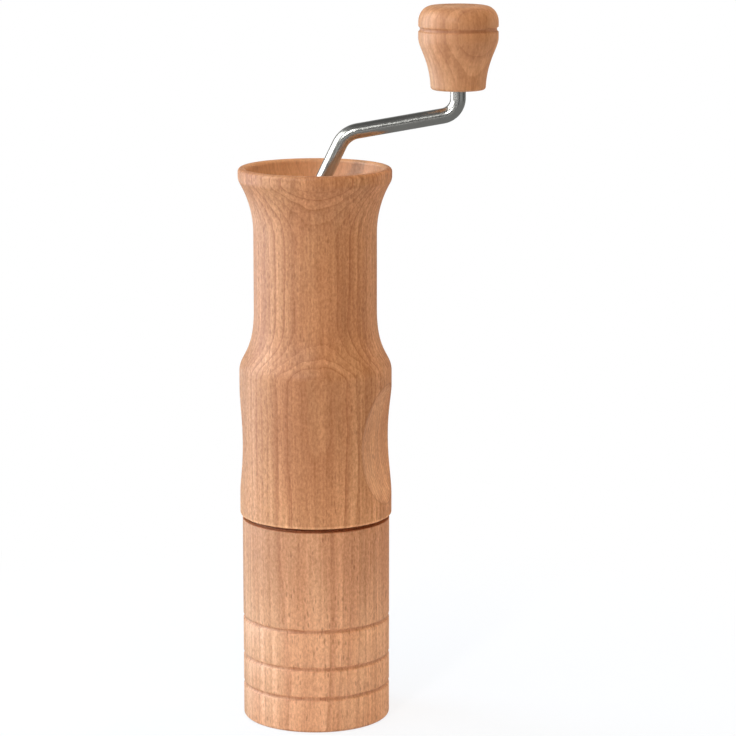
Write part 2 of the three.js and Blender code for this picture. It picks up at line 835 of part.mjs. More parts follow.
function addScrews(name, length, radius, angles, headLevel) {
  angles.forEach((angle, index) => {
    const place = [radius * Math.cos(angle), radius * Math.sin(angle), headLevel];
    add(`${name}_${index + 1}`, screw(length), steel, place);
  });
}

add('grounds_jar', groundsJar(), jarWood);
add('mill_barrel', millBarrel(), barrelWood);
add('burr_carrier', burrCarrier(), plastic);
addScrews('carrier_screw', carrierScrewLength, screwCircle, carrierScrewAngles, flangeBase);
add('ring_burr', ringBurr(), ceramic, [0, 0, flangeBase]);
add('burr_retainer', burrRetainer(), steel, [0, 0, flangeBase - retainerThickness]);
addScrews('retainer_screw', retainerScrewLength, retainerScrewCircle, retainerScrewAngles,
  flangeBase - retainerThickness);
add('seal_ring', sealRing(), rubber);
add('lower_bush', bush(hubHeight), brass, [0, 0, hubTop]);
add('upper_stay', upperStay(), steel);
add('upper_bush', bush(stayHubHeight), brass, [0, 0, stayHubTop]);
add('drive_shaft', driveShaft(), steel);
add('thrust_washer', ring(shaftRadius + seatGap, bushFlangeRadius, 0, washerThickness, metalSides),
  steel, [0, 0, thrustWasherBase]);
add('shaft_clip', retainingClip(shaftRadius - clipGrooveDepth), steel, [0, 0, shaftClipBase]);
add('spring_seat', ring(shaftRadius + seatGap, hubRadius, 0, washerThickness, metalSides),
  steel, [0, 0, springSeatBase]);
add('burr_spring', burrSpring(), steel, [0, 0, springBase]);
add('cone_burr', coneBurr(), ceramic, [0, 0, coneBurrBase]);
add('burr_core', burrCore(), plastic, [0, 0, coreBase]);
add('adjuster', adjuster(), plastic, [0, 0, adjusterBase]);
add('adjuster_insert', adjusterInsert(), brass, [0, 0, adjusterTop - insertHeight]);
add('end_clip', retainingClip(shaftRadius - clipGrooveDepth), steel, [0, 0, endClipBase]);
add('crank_rod', crankRod(), steel);
add('drive_socket', driveSocket(), steel);
add('socket_pin', socketPin(), steel);
add('knob', knob(), barrelWood, [crankReach, 0, knobBase]);
add('knob_bush', bush(sleeveTop - sleeveBase), brass, [crankReach, 0, sleeveTop]);
add('knob_collar', knobCollar(), steel,
  [crankReach, 0, knobBase + collarRecess - collarThickness]);
add('knob_clip', retainingClip(rodRadius - clipGrooveDepth), steel, [crankReach, 0, knobClipBase]);
add('knob_plug', knobPlug(), barrelWood, [crankReach, 0, knobTop]);

export default mill;
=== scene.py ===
# The looks of a hand grain mill: turned beech barrel, grounds jar and knob, a bent polished crank
# and the burr set inside. Metres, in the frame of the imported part: +Z up, origin under the jar.
import json
import math
from collections import namedtuple

import bpy
from mathutils import Matrix, Vector

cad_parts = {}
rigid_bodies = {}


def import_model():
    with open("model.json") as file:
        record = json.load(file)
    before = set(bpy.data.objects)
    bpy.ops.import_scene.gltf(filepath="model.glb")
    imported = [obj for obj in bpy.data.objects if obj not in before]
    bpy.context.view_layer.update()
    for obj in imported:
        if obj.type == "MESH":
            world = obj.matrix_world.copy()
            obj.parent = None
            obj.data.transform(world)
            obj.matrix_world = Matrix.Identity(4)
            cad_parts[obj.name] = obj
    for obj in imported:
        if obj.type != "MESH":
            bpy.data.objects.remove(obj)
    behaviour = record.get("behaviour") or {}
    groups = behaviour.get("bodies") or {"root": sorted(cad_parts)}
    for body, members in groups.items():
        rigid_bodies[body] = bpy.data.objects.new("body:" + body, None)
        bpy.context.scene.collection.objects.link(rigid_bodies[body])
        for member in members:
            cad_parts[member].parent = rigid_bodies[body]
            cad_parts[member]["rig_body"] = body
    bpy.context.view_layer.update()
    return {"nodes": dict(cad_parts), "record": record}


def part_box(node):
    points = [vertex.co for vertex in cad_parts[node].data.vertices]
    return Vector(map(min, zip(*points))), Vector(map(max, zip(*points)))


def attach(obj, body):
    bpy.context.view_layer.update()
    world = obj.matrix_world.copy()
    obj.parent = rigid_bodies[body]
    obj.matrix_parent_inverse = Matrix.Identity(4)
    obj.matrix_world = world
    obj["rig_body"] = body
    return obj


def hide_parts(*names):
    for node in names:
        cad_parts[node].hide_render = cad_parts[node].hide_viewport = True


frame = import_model()

MM = 0.001
TINY = 1e-7
FULL_TURN = 2 * math.pi
QUARTER_TURN = math.pi / 2
UP = Vector((0, 0, 1))

# How finely turned and swept pieces are made
WOOD_SIDES = 300
JAR_SIDES = 256
KNOB_SIDES = 192
METAL_SIDES = 64
ROD_SIDES = 48
ARC_STEPS = 8
EASED_STEPS = 2
FLAT_SIDES = 2 * METAL_SIDES
EAR_SIDES = 2 * KNOB_SIDES
SHARP_ANGLE = math.radians(40)

# Boxes of the nodes that the outlines start from
jar_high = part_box("grounds_jar")[1]
barrel_low, barrel_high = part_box("mill_barrel")
carrier_low, carrier_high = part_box("burr_carrier")
ring_low, ring_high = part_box("ring_burr")
cone_low, cone_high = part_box("cone_burr")
core_low, core_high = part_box("burr_core")
retainer_low, retainer_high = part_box("burr_retainer")
adjuster_low, adjuster_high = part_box("adjuster")
insert_low, insert_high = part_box("adjuster_insert")
spring_low, spring_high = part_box("burr_spring")
shaft_low, shaft_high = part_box("drive_shaft")
stay_low, stay_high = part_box("upper_stay")
socket_low, socket_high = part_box("drive_socket")
pin_low, pin_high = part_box("socket_pin")
knob_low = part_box("knob")[0]
plug_low, plug_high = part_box("knob_plug")
rod_low, rod_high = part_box("crank_rod")
clip_low, clip_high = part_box("knob_clip")
bush_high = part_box("knob_bush")[1]
seal_low, seal_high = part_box("seal_ring")
end_clip_low, end_clip_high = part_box("end_clip")
shaft_clip_low, shaft_clip_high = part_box("shaft_clip")
retainer_screw_low, retainer_screw_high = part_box("retainer_screw_1")
carrier_screw_low, carrier_screw_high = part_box("carrier_screw_2")
carrier_screw_circle = -(carrier_screw_low.x + carrier_screw_high.x) / math.sqrt(3)
retainer_screw_circle = (retainer_screw_low.y + retainer_screw_high.y) / 2

# Fits and small edges shared by the metal and plastic pieces
SEAT_GAP = 0.3 * MM
EASED_EDGE = 0.15 * MM
FINE_EDGE = 0.08 * MM
EASED_ANGLE = math.radians(50)
OVERRUN = 1 * MM
ARM_COUNT = 3
HEX_SIDES = 6
HEX_APOTHEM = math.cos(math.pi / HEX_SIDES)

# Grounds jar
JAR_BORE = 25 * MM
JAR_FLOOR = 6 * MM
JAR_FLOOR_ROUND = 3 * MM
JAR_BASE_ROUND = 1.4 * MM
JAR_MOUTH_ROUND = 0.5 * MM
JAR_MOUTH_STEPS = 4
JAR_GROOVE_SHARES = (0.169, 0.316, 0.504)
JAR_GROOVE_WIDTH = 2 * MM
JAR_GROOVE_DEPTH = 0.7 * MM
JOINT_GAP = 0.4 * MM
JOINT_DEPTH = 2.2 * MM
GROOVE_EDGE = 0.15 * MM
GROOVE_ARC_SHARE = 0.94
GROOVE_STEPS = 14

# Mill barrel
BARREL_RADIUS = 29.9 * MM
BARREL_EDGE_ROUND = 0.8 * MM
JOINT_RISE = 1.15 * MM
COUNTERBORE_RADIUS = 19.3 * MM
COUNTERBORE_TOP = 117.5 * MM
STAY_HUB_DROP = 2 * MM
THROAT_RADIUS = 17 * MM
HOPPER_RADIUS = 19.6 * MM
NECK_RADIUS = 24.1 * MM
SHOULDER_START = 58.5 * MM
SHOULDER_HEIGHT = 24.5 * MM
SHOULDER_START_SHARE = 0.265
SHOULDER_END_SHARE = 0.73
FLARE_HEIGHT = 25.7 * MM
FLARE_RADIUS = 40 * MM
FLARE_SWEEP = math.radians(29.7)
LIP_SIDE_RADIUS = 5 * MM
LIP_ROUND = 1.6 * MM
RIM_WALL = 3.3 * MM
MOUTH_DEPTH = 25 * MM
MOUTH_CURVE_SHARE = 0.5
SCOOP_HEIGHT = 47.5 * MM
SCOOP_DEPTH = 5.35 * MM
SCOOP_RISE = 30.8 * MM
SCOOP_DIRECTION = math.radians(-18)
SCOOP_EDGE = 0.6 * MM
ROW_STEP = 0.85 * MM
NECK_ROW_STEP = 3 * ROW_STEP
HOPPER_ROW_STEP = 6 * ROW_STEP
SHOULDER_STEPS = 32
FLARE_STEPS = 24
LIP_SIDE_STEPS = 6
LIP_STEPS = 10
MOUTH_STEPS = 20

# Crank rod
ROD_RADIUS = 3 * MM
CRANK_REACH = (plug_low.x + plug_high.x) / 2
ELBOW_REACH = 11.7 * MM
ELBOW_DROP = 7.7 * MM
ROD_TURN_DROP = 11.1 * MM
ARM_LIFT = 20.9 * MM
FOOT_BEND = 9 * MM
ELBOW_BEND = 9.5 * MM
TIP_BEND = 7 * MM
BEND_STEPS = 20
ROD_END_ROUND = 0.4 * MM
ROD_END_STEPS = 3
CLIP_GROOVE_DEPTH = 0.7 * MM
PIN_RADIUS = 1.1 * MM

# Burr set, shaft and their small parts
CARRIER_WALL = 1.2 * MM
FLANGE_THICKNESS = 3 * MM
FUNNEL_RISE = 10 * MM
FUNNEL_WALL = 2 * MM
HUB_RADIUS = 6.3 * MM
HUB_BORE = 4.5 * MM
HUB_HEIGHT = 9 * MM
ARM_WIDTH = 4 * MM
ARM_HEIGHT = 6 * MM
CARRIER_RISE = 3.2 * MM
SPIGOT_WALL = 1.8 * MM
SEAL_HEIGHT_SHARE = 0.6
RING_TEETH = 20
RING_LAND_RADIUS = 13.95 * MM
RING_TAPER = 1.2 * MM
RING_ROW_STEP = 1 * MM
TOOTH_DEPTH = 0.9 * MM
TOOTH_LAND_SHARE = 0.5
TOOTH_SIDE_SHARE = 0.12
TOOTH_STEPS = 14
CONE_TEETH = 12
CONE_TOOTH_STEPS = 2 * TOOTH_STEPS
CONE_TOP_RADIUS = 8 * MM
CONE_BORE = 5.5 * MM
CONE_ROW_STEP = 0.5 * MM
CONE_TWIST = math.pi / 5
FINISHING_HEIGHT = 5 * MM
BURR_DROP = 1.5 * MM
CORE_RADIUS = 5.2 * MM
CORE_FLANGE = 1.2 * MM
FLAT_HALF_WIDTH = 2.4 * MM
LOBES = 12
LOBE_DEPTH = 0.5 * MM
LOBE_EDGE_ROUND = 3 * EASED_EDGE
LOBE_EDGE_STEPS = 4
THREAD_PITCH = 0.8 * MM
THREAD_DEPTH = 0.12 * MM
THREAD_STEP = THREAD_PITCH / 8
SCREW_RADIUS = 0.9 * MM
SCREW_CLEARANCE = 0.25 * MM
SCREW_HEAD_HEIGHT = 1.3 * MM
SCREW_SIDES = 32
RECESS_WIDTH = 0.45 * MM
RECESS_REACH = 1.9 * MM
RECESS_DEPTH = 0.6 * MM
CARRIER_SCREW_START = math.pi / 6
RETAINER_SCREW_START = math.pi / 2
CLIP_OPENING = math.radians(60)
CLIP_STEPS = 60
SPRING_TURNS = 5
SPRING_STEPS = 48
SPRING_WIRE = 0.5 * MM
SPRING_COIL_RADIUS = 4.66 * MM
SPRING_SIDES = 16
HEX_START_GAP = 1.4 * MM
SHAFT_EDGE = 2 * EASED_EDGE
STAY_THICKNESS = 3 * MM
HEX_ENGAGEMENT = 16 * MM
SOCKET_CHAMFER = 0.5 * MM

# Knob, with its shares taken along its height
KNOB_RADIUS = 15.5 * MM
KNOB_FOOT_RADIUS = 10.7 * MM
KNOB_FOOT_ROUND = 1.2 * MM
KNOB_FLARE = 0.5 * MM
KNOB_WAIST_SHARES = (0.355, 0.5, 0.617)
KNOB_GROOVE_SHARE = 0.722
KNOB_GROOVE_WIDTH = 2 * MM
KNOB_GROOVE_DEPTH = 0.65 * MM
KNOB_CROWN_SHARES = (0.8, 0.9)
KNOB_CROWN_INSET = 1.9 * MM
KNOB_SIDE_STEPS = 40
KNOB_CROWN_STEPS = 32
KNOB_TOP_RADIUS = 9.5 * MM
PLUG_ROUND = 0.5 * MM
BUSH_RADIUS = 4.2 * MM
BUSH_FLANGE = 1 * MM
BUSH_BORE = 3.1 * MM
COLLAR_RECESS = 2 * MM

# Camera, fitted to the photograph's outline
PHOTO_WIDTH_PX = 736
FOCAL_LENGTH_PX = 3107
SENSOR_WIDTH = 36
CLIP_START = 0.05
CLIP_END = 50
CAMERA_PLACE = Vector((0.0206, -1.1986, 0.3696))
CAMERA_PITCH = math.radians(10.83)

# Noises: scale for each unit along the three axes, place, detail and roughness. In the wood the
# units are millimetres and the axes of the grain run round the pith, out from it and up.
Noise = namedtuple("Noise", "scale place detail roughness", defaults=((0, 0, 0), 2.0, 0.5))
STREAKS = Noise((1.25, 0.6, 0.022), detail=3.0, roughness=0.6)
FIBRES = Noise((1.8, 0.9, 0.75), (3, 9, 4), roughness=0.6)
BANDS = Noise((0.24, 0.12, 0.008), (5, 2, 7), roughness=0.6)
CLOUDS = Noise((0.09, 0.09, 0.014), (11, 5, 2), 3.0)
SLOW_WAVES = Noise((0.03, 0.03, 0.006))
QUICK_WAVES = Noise((0.2, 0.2, 0.03), (7, 3, 1))
RING_WAVES = Noise((0.2, 0.2, 0.2), detail=1.0)
RAY_CROWDS = Noise((0.12, 0.05, 0.035), (2, 8, 5))
METAL_CLOUDS = Noise((130, 130, 60))
METAL_LINES = Noise((2600, 2600, 90), detail=3.0)
MOULD_CLOUDS = Noise((120, 120, 120), detail=3.0)
MOULD_GRAIN = Noise((2400, 2400, 2400))
CARD_WEAVE = Noise((40, 40, 40))
NOISE_MIDDLE = 0.5
NOISE_SPAN = (0.3, 0.7)

# Logs: where the centre line passes in millimetres at the piece's foot, how far it leans for each
# millimetre up, the rings' spacing in millimetres, and how strongly each figure shows
Log = namedtuple("Log", "pith tilt ring_spacing lines bands streaks fibres rays")
BARREL_LOG = Log((-1.3, 73.55), (0.0, 0.01), 1.65, lines=1.0, bands=0.13, streaks=0.12,
                 fibres=0.16, rays=0.5)
JAR_LOG = Log((14, 90), (-0.01, 0.01), 1.65, lines=0.8, bands=0.11, streaks=0.09,
              fibres=0.15, rays=0.65)
KNOB_LOG = Log((-20, 30), (-0.03, 0.03), 2.6, lines=0.7, bands=0.14, streaks=0.10,
               fibres=0.08, rays=0.25)

# Beech: colours of early wood in linear light, shares of them for its figures, and sizes in
# millimetres
BARREL_TONE = (0.535, 0.222, 0.084)
JAR_TONE = (0.605, 0.270, 0.120)
KNOB_TONE = (0.58, 0.258, 0.104)
CLOUD_SHARES = (0.97, 0.90, 0.86)
LINE_SHARES = (0.62, 0.43, 0.32)
RAY_SHARES = (0.46, 0.32, 0.22)
# Shares of the tone for light painted inside the mouth
MOUTH_LIGHT_SHARES = (1.6, 1.85, 2.1)
SCOOP_LINE_SHARES = (0.5, 0.36, 0.26)
# Shares for the grooves' burn lines and for the shade painted at the jar's foot and in its joint
BURN_AND_SHADE_SHARES = (0.42, 0.24, 0.13)
BROWNING_GREEN = 1.38
BROWNING_BLUE = 1.75
CLOUD_SPAN = (0.36, 0.66)
SLOW_WARP = 3.6
QUICK_WARP = 1.0
RING_POWER = 4
RING_TINT = 0.05
RING_FADE = 0.3
RING_CLOSE_SPAN = (0.93, 1.0)
RING_LINE_LEVELS = (0.4, 1.0)
RAY_SCALE = (1 / 0.8, 1 / 8, 1 / 3.6)
RAY_SPAN = (0.16, 0.40)
RAY_CHANCE_SPAN = (0.15, 0.75)
RAY_CROWD_SPAN = (0.36, 0.6)
RAY_CROWD_LEVELS = (0.3, 1.0)
# Band widths of the burn lines, of the painted shade at the jar's foot and joint, and of the painted edge
# highlight; how far in the burns and painted shade reach, and how dark they are
BURN_SHADE_AND_HIGHLIGHT_SPAN = (0.25, 0.95)
BURN_AND_SHADE_REACH = 2.4
BURN_AND_SHADE_DARKNESS = 0.34
# Painted highlight on the barrel's rounded lower edge, where light catches it
EDGE_PAINTED_HIGHLIGHT = 0.28
# Light painted inside the mouth, and where the mouth's wall is
MOUTH_PAINTED_LIGHT = 0.40
MOUTH_WALL_FOOT = 196.0
MOUTH_WALL_RADIUS = 22.0
MOUTH_WALL_SLOPE = 0.26
MOUTH_FADE = 4.0
MASK_EDGE = 0.6
# Painted light on the scoops' cut faces
SCOOP_PAINTED_LIGHT = 0.16
SCOOP_FADE = 1.4
SCOOP_LINE_DEPTH = 0.14
SCOOP_LINE_WIDTH = 0.12
SCOOP_LINE_DARKNESS = 0.45
# Painted bounce light from the floor: the jar and barrel grow paler towards their bottoms
JAR_FLOOR_BOUNCE = ((32.0, 74.0), 0.29)
BARREL_BOUNCE_REACH = 42.0
BARREL_BOUNCE_LIGHT = 0.22
FIBRE_SPAN = (0.25, 0.75)
WOOD_ROUGHNESS = (0.56, 0.44)
WOOD_IOR = 1.42
STREAK_RELIEF = 0.5
RAY_RELIEF = -0.6
WOOD_BUMP = (0.35, 0.05 * MM)

# Metal and moulded finishes: how far their clouds reach, and their bumps' strength and height
CLOUD_REACH = (0.35, 0.65)
METAL_SHARES = (0.93, 1.0)
METAL_BUMP = (0.12, 0.01 * MM)
MOULD_SHARES = (0.85, 1.08)
MOULD_SMOOTHER = 0.06
MOULD_ROUGHER = 0.08
MOULD_BUMP = 0.25

# Metals by slot: name, tone, roughness, and how far the lines in the surface change it
METALS = {
    "polished_steel": ("polished_steel", (0.53, 0.53, 0.50), 0.24, 0.03),
    "plain_steel": ("plain_steel", (0.55, 0.55, 0.54), 0.28, 0.06),
    "bush_brass": ("turned_brass", (0.72, 0.52, 0.24), 0.26, 0.05),
}

# Moulded and fired materials by slot: name, tone, roughness and the grain's height
MOULDINGS = {
    "burr_ceramic": ("fired_ceramic", (0.80, 0.78, 0.72), 0.45, 0.03 * MM),
    "dark_plastic": ("moulded_plastic", (0.02, 0.02, 0.022), 0.42, 0.03 * MM),
    "seal_rubber": ("seal_rubber", (0.012, 0.012, 0.012), 0.62, 0.02 * MM),
}

# Floor and surroundings
FLOOR_RADIUS = 4.0
FLOOR_SIDES = 96
FLOOR_GAP = 0.05 * MM
FLOOR_TONE = (0.9, 0.9, 0.9)
FLOOR_ROUGHNESS = 0.9
SHADOW_SPAN = (0.06, 0.30)
SHADOW_WHITE = 0.82
WORLD_LEVEL = 0.11
SEEN_RAYS = ("Is Camera Ray", "Is Glossy Ray", "Is Transmission Ray")

# Upright cards: first and last direction, lowest and highest elevation in degrees, and level. A
# direction is the angle from the camera's side of the mill, positive to the right.
CARD_STEPS = 24
CARD_DISTANCE = 1.3
CARD_TONE = (0.8, 0.8, 0.8)
CARDS = (
    ("left_wall_card", -125, -90, -60, 9, 3.4),
    ("left_low_card", -90, -36, -60, 9, 0.32),
    ("left_window", -115, -50, 12, 55, 5.2),
    ("left_front_card", -50, -36, 9, 58, 0.10),
    ("front_card", -36, 26, 1, 58, 0.10),
    ("low_front_card", 8, 26, -60, 1, 0.04),
    ("right_front_card", 26, 72, -60, 70, 0.45),
    ("right_card", 72, 108, -60, 70, 0.10),
    ("back_card", 108, 235, -60, 70, 0.34),
)

# Level cards: height, west, east, south and north end, and level
FLAT_CARDS = (
    ("ceiling_card", 1.5, -1.3, 1.3, -1.3, 1.1, 0.13),
    ("table_card", 0.5 * MM, -0.4, 1.28, -1.28, 1.1, 0.30),
    ("left_table_card", 0.5 * MM, -1.28, -0.4, -1.28, 1.1, 3.2),
)

# Light panels: direction and elevation in degrees, distance, width, height, power and tint
COOL = (0.72, 1.09, 1.56)
PALE = (0.92, 1.0, 1.12)
WARM = (1.06, 1.0, 0.86)
WHITE = (1.0, 1.0, 1.0)
KEY_LIGHT = ("key", -20, 29, 1.6, 0.12, 0.12, 9.0, WHITE)
SOFT_LIGHTS = (
    ("left_front", -60, 12, 0.9, 0.5, 0.9, 1.9, COOL),
    ("left_back", -112, 10, 0.9, 0.5, 0.9, 8.0, COOL),
    ("back", 180, 45, 1.2, 0.6, 0.6, 2.0, WHITE),
    ("right_side", 120, 6, 1.1, 0.5, 0.9, 8.0, WARM),
    ("low_front", 20, -9, 0.50, 0.3, 0.1, 0.20, WARM),
    ("overhead", 0, 80, 1.2, 0.8, 0.8, 7.5, PALE),
)


# Outlines and meshes
class Outline:
    """Outline of a turned piece as points (radius, height), walked anticlockwise. One that starts
    on the axis ends there, and any other closes on its first point."""

    def __init__(self, radius, height):
        self.points = [(radius, height)]

    def to(self, radius, height, step=math.inf):
        """A straight stretch, in pieces no longer than the step."""
        start_radius, start_height = self.points[-1]
        length = math.hypot(radius - start_radius, height - start_height)
        count = max(1, math.ceil(length / step))
        for index in range(1, count + 1):
            share = index / count
            self.points.append((start_radius + share * (radius - start_radius),
                                start_height + share * (height - start_height)))
        return self

    def across(self, radius):
        return self.to(radius, self.points[-1][1])

    def along(self, height, step=math.inf):
        return self.to(self.points[-1][0], height, step)

    def side(self, radius, start, end, edge, step=math.inf):
        """An upright side with a chamfer at each end; in a bore, walked down, its edge is negative."""
        self.to(radius - edge, start).to(radius, start + edge)
        return self.along(end - edge, step).to(radius - edge, end)

    def arc(self, radius, height, bend, start, sweep=QUARTER_TURN, steps=ARC_STEPS):
        for index in range(steps + 1):
            angle = start + sweep * index / steps
            self.points.append((radius + bend * math.cos(angle), height + bend * math.sin(angle)))
        return self

    def curve(self, first, second, end, steps):
        start = self.points[-1]
        for index in range(1, steps + 1):
            share = index / steps
            rest = 1 - share
            weights = (rest ** 3, 3 * rest ** 2 * share, 3 * rest * share ** 2, share ** 3)
            corners = (start, first, second, end)
            self.points.append(tuple(sum(weight * corner[axis] for weight, corner
                                         in zip(weights, corners)) for axis in (0, 1)))
        return self

    def groove(self, height, width, depth):
        """A round groove, with softened edges, across the side that the outline walks up."""
        radius = self.points[-1][0]
        bend = (width * width / 4 + depth * depth) / (2 * depth)
        half = GROOVE_ARC_SHARE * math.asin(width / 2 / bend)
        self.along(height - width / 2 - GROOVE_EDGE)
        self.arc(radius - depth + bend, height, bend, math.pi + half, -2 * half, GROOVE_STEPS)
        return self.to(radius, height + width / 2 + GROOVE_EDGE)


def new_object(name, vertices, faces):
    mesh = bpy.data.meshes.new(name)
    mesh.from_pydata(vertices, [], faces)
    mesh.validate()
    piece = bpy.data.objects.new(name, mesh)
    bpy.context.scene.collection.objects.link(piece)
    return piece


def smooth(piece):
    """Smooth shading that keeps the sharp edges."""
    piece.data.shade_smooth()
    piece.data.set_sharp_from_angle(angle=SHARP_ANGLE)
    return piece


def skin(rows):
    """Faces between each row of corners and the next; a row on the axis is a single corner."""
    sides = max(len(row) for row in rows)
    faces = []
    for low, high in zip(rows, rows[1:]):
        for index in range(sides):
            after = (index + 1) % sides
            corners = (low[index % len(low)], low[after % len(low)],
                       high[after % len(high)], high[index % len(high)])
            kept = tuple(dict.fromkeys(corners))
            if len(kept) > 2:
                faces.append(kept)
    return faces


def revolve(name, outline, sides, reshape=None):
    """Turned solid about +Z; reshape(radius, height, angle) may pull a point in or out."""
    points = []
    for point in outline.points:
        if not points or math.dist(points[-1], point) > TINY:
            points.append(point)
    ring = points[0][0] > TINY
    if ring and math.dist(points[0], points[-1]) <= TINY:
        points.pop()
    vertices = []
    rows = []
    for radius, height in points:
        count = sides if radius > TINY else 1
        rows.append(range(len(vertices), len(vertices) + count))
        for index in range(count):
            angle = FULL_TURN * index / sides
            reach = reshape(radius, height, angle) if reshape else radius
            vertices.append((reach * math.cos(angle), reach * math.sin(angle), height))
    return smooth(new_object(name, vertices, skin(rows + rows[:1] if ring else rows)))


def lofted(name, sections):
    """A bar through sections with as many corners each, closed at both ends."""
    corners = [corner for section in sections for corner in section]
    sides = len(sections[0])
    rows = [range(first, first + sides) for first in range(0, len(corners), sides)]
    return new_object(name, corners, skin(rows) + [tuple(reversed(rows[0])), tuple(rows[-1])])


def sweep(name, stations, sides, across_at):
    """Round bar along stations (point, tangent, radius); across_at(point) is a direction square to
    the bar there."""
    sections = []
    for point, tangent, radius in stations:
        across = across_at(point)
        side = across.cross(tangent)
        sections.append([point + radius * (math.cos(angle) * side + math.sin(angle) * across)
                         for angle in around(sides)])
    return smooth(lofted(name, sections))


def settle(piece):
    """The piece's modifiers become its mesh."""
    state = bpy.context.evaluated_depsgraph_get()
    mesh = bpy.data.meshes.new_from_object(piece.evaluated_get(state))
    piece.modifiers.clear()
    piece.data = mesh
    return smooth(piece)


def combine(piece, others, operation):
    for other in others:
        change = piece.modifiers.new("change", "BOOLEAN")
        change.operation = operation
        change.object = other
        change.solver = "EXACT"
    settle(piece)
    for other in others:
        bpy.data.objects.remove(other)
    return piece


def cut(piece, *others):
    return combine(piece, others, "DIFFERENCE")


def join(piece, *others):
    return combine(piece, others, "UNION")


def eased(piece, width):
    """The piece with its sharp edges softened."""
    edges = piece.modifiers.new("edges", "BEVEL")
    edges.width = width
    edges.segments = EASED_STEPS
    edges.limit_method = "ANGLE"
    edges.angle_limit = EASED_ANGLE
    return settle(piece)


def disc(radius, low, high, sides=METAL_SIDES):
    return revolve("disc", Outline(0, low).across(radius).along(high).across(0), sides)


def tube(name, inner, outer, low, high, sides=METAL_SIDES):
    """A turned ring with a chamfer on all its rims."""
    outline = Outline(inner + FINE_EDGE, low).side(outer, low, high, FINE_EDGE)
    return revolve(name, outline.side(inner, high, low, -FINE_EDGE), sides)


def block(width, depth, low, high, x, turn):
    """A box centred at x along +X, turned about +Z."""
    spin = Matrix.Rotation(turn, 3, "Z")
    corners = []
    for height in (low, high):
        for east, north in ((-1, -1), (1, -1), (1, 1), (-1, 1)):
            corners.append(spin @ Vector((x + east * width / 2, north * depth / 2, height)))
    faces = [(3, 2, 1, 0), (4, 5, 6, 7), (0, 1, 5, 4), (1, 2, 6, 5), (2, 3, 7, 6), (3, 0, 4, 7)]
    return new_object("block", corners, faces)


def around(count, start=0.0):
    return [start + FULL_TURN * index / count for index in range(count)]


def moved(piece, x, y, z=0.0):
    """The piece's mesh shifted, so that the piece itself stays at the origin."""
    piece.data.transform(Matrix.Translation((x, y, z)))
    return piece


def half_width(node):
    low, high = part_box(node)
    return (high.x - low.x) / 2


def polygon_reach(apothem, angle, corner=0.0):
    """How far out a hexagon's side is in a direction, with one of its corners at the corner angle."""
    slice_angle = FULL_TURN / HEX_SIDES
    return apothem / math.cos((angle - corner) % slice_angle - slice_angle / 2)


def groove_share(angle, teeth):
    """From 0 on a tooth's land to 1 in the groove beside it."""
    share = angle * teeth / FULL_TURN % 1
    return min(max((share - TOOTH_LAND_SHARE) / TOOTH_SIDE_SHARE, 0),
               max((1 - share) / TOOTH_SIDE_SHARE, 0), 1)


def thread_share(angle, height):
    """From 0 at a thread's crest to 1 at its root."""
    share = (height / THREAD_PITCH + angle / FULL_TURN) % 1
    return 1 - abs(2 * share - 1)


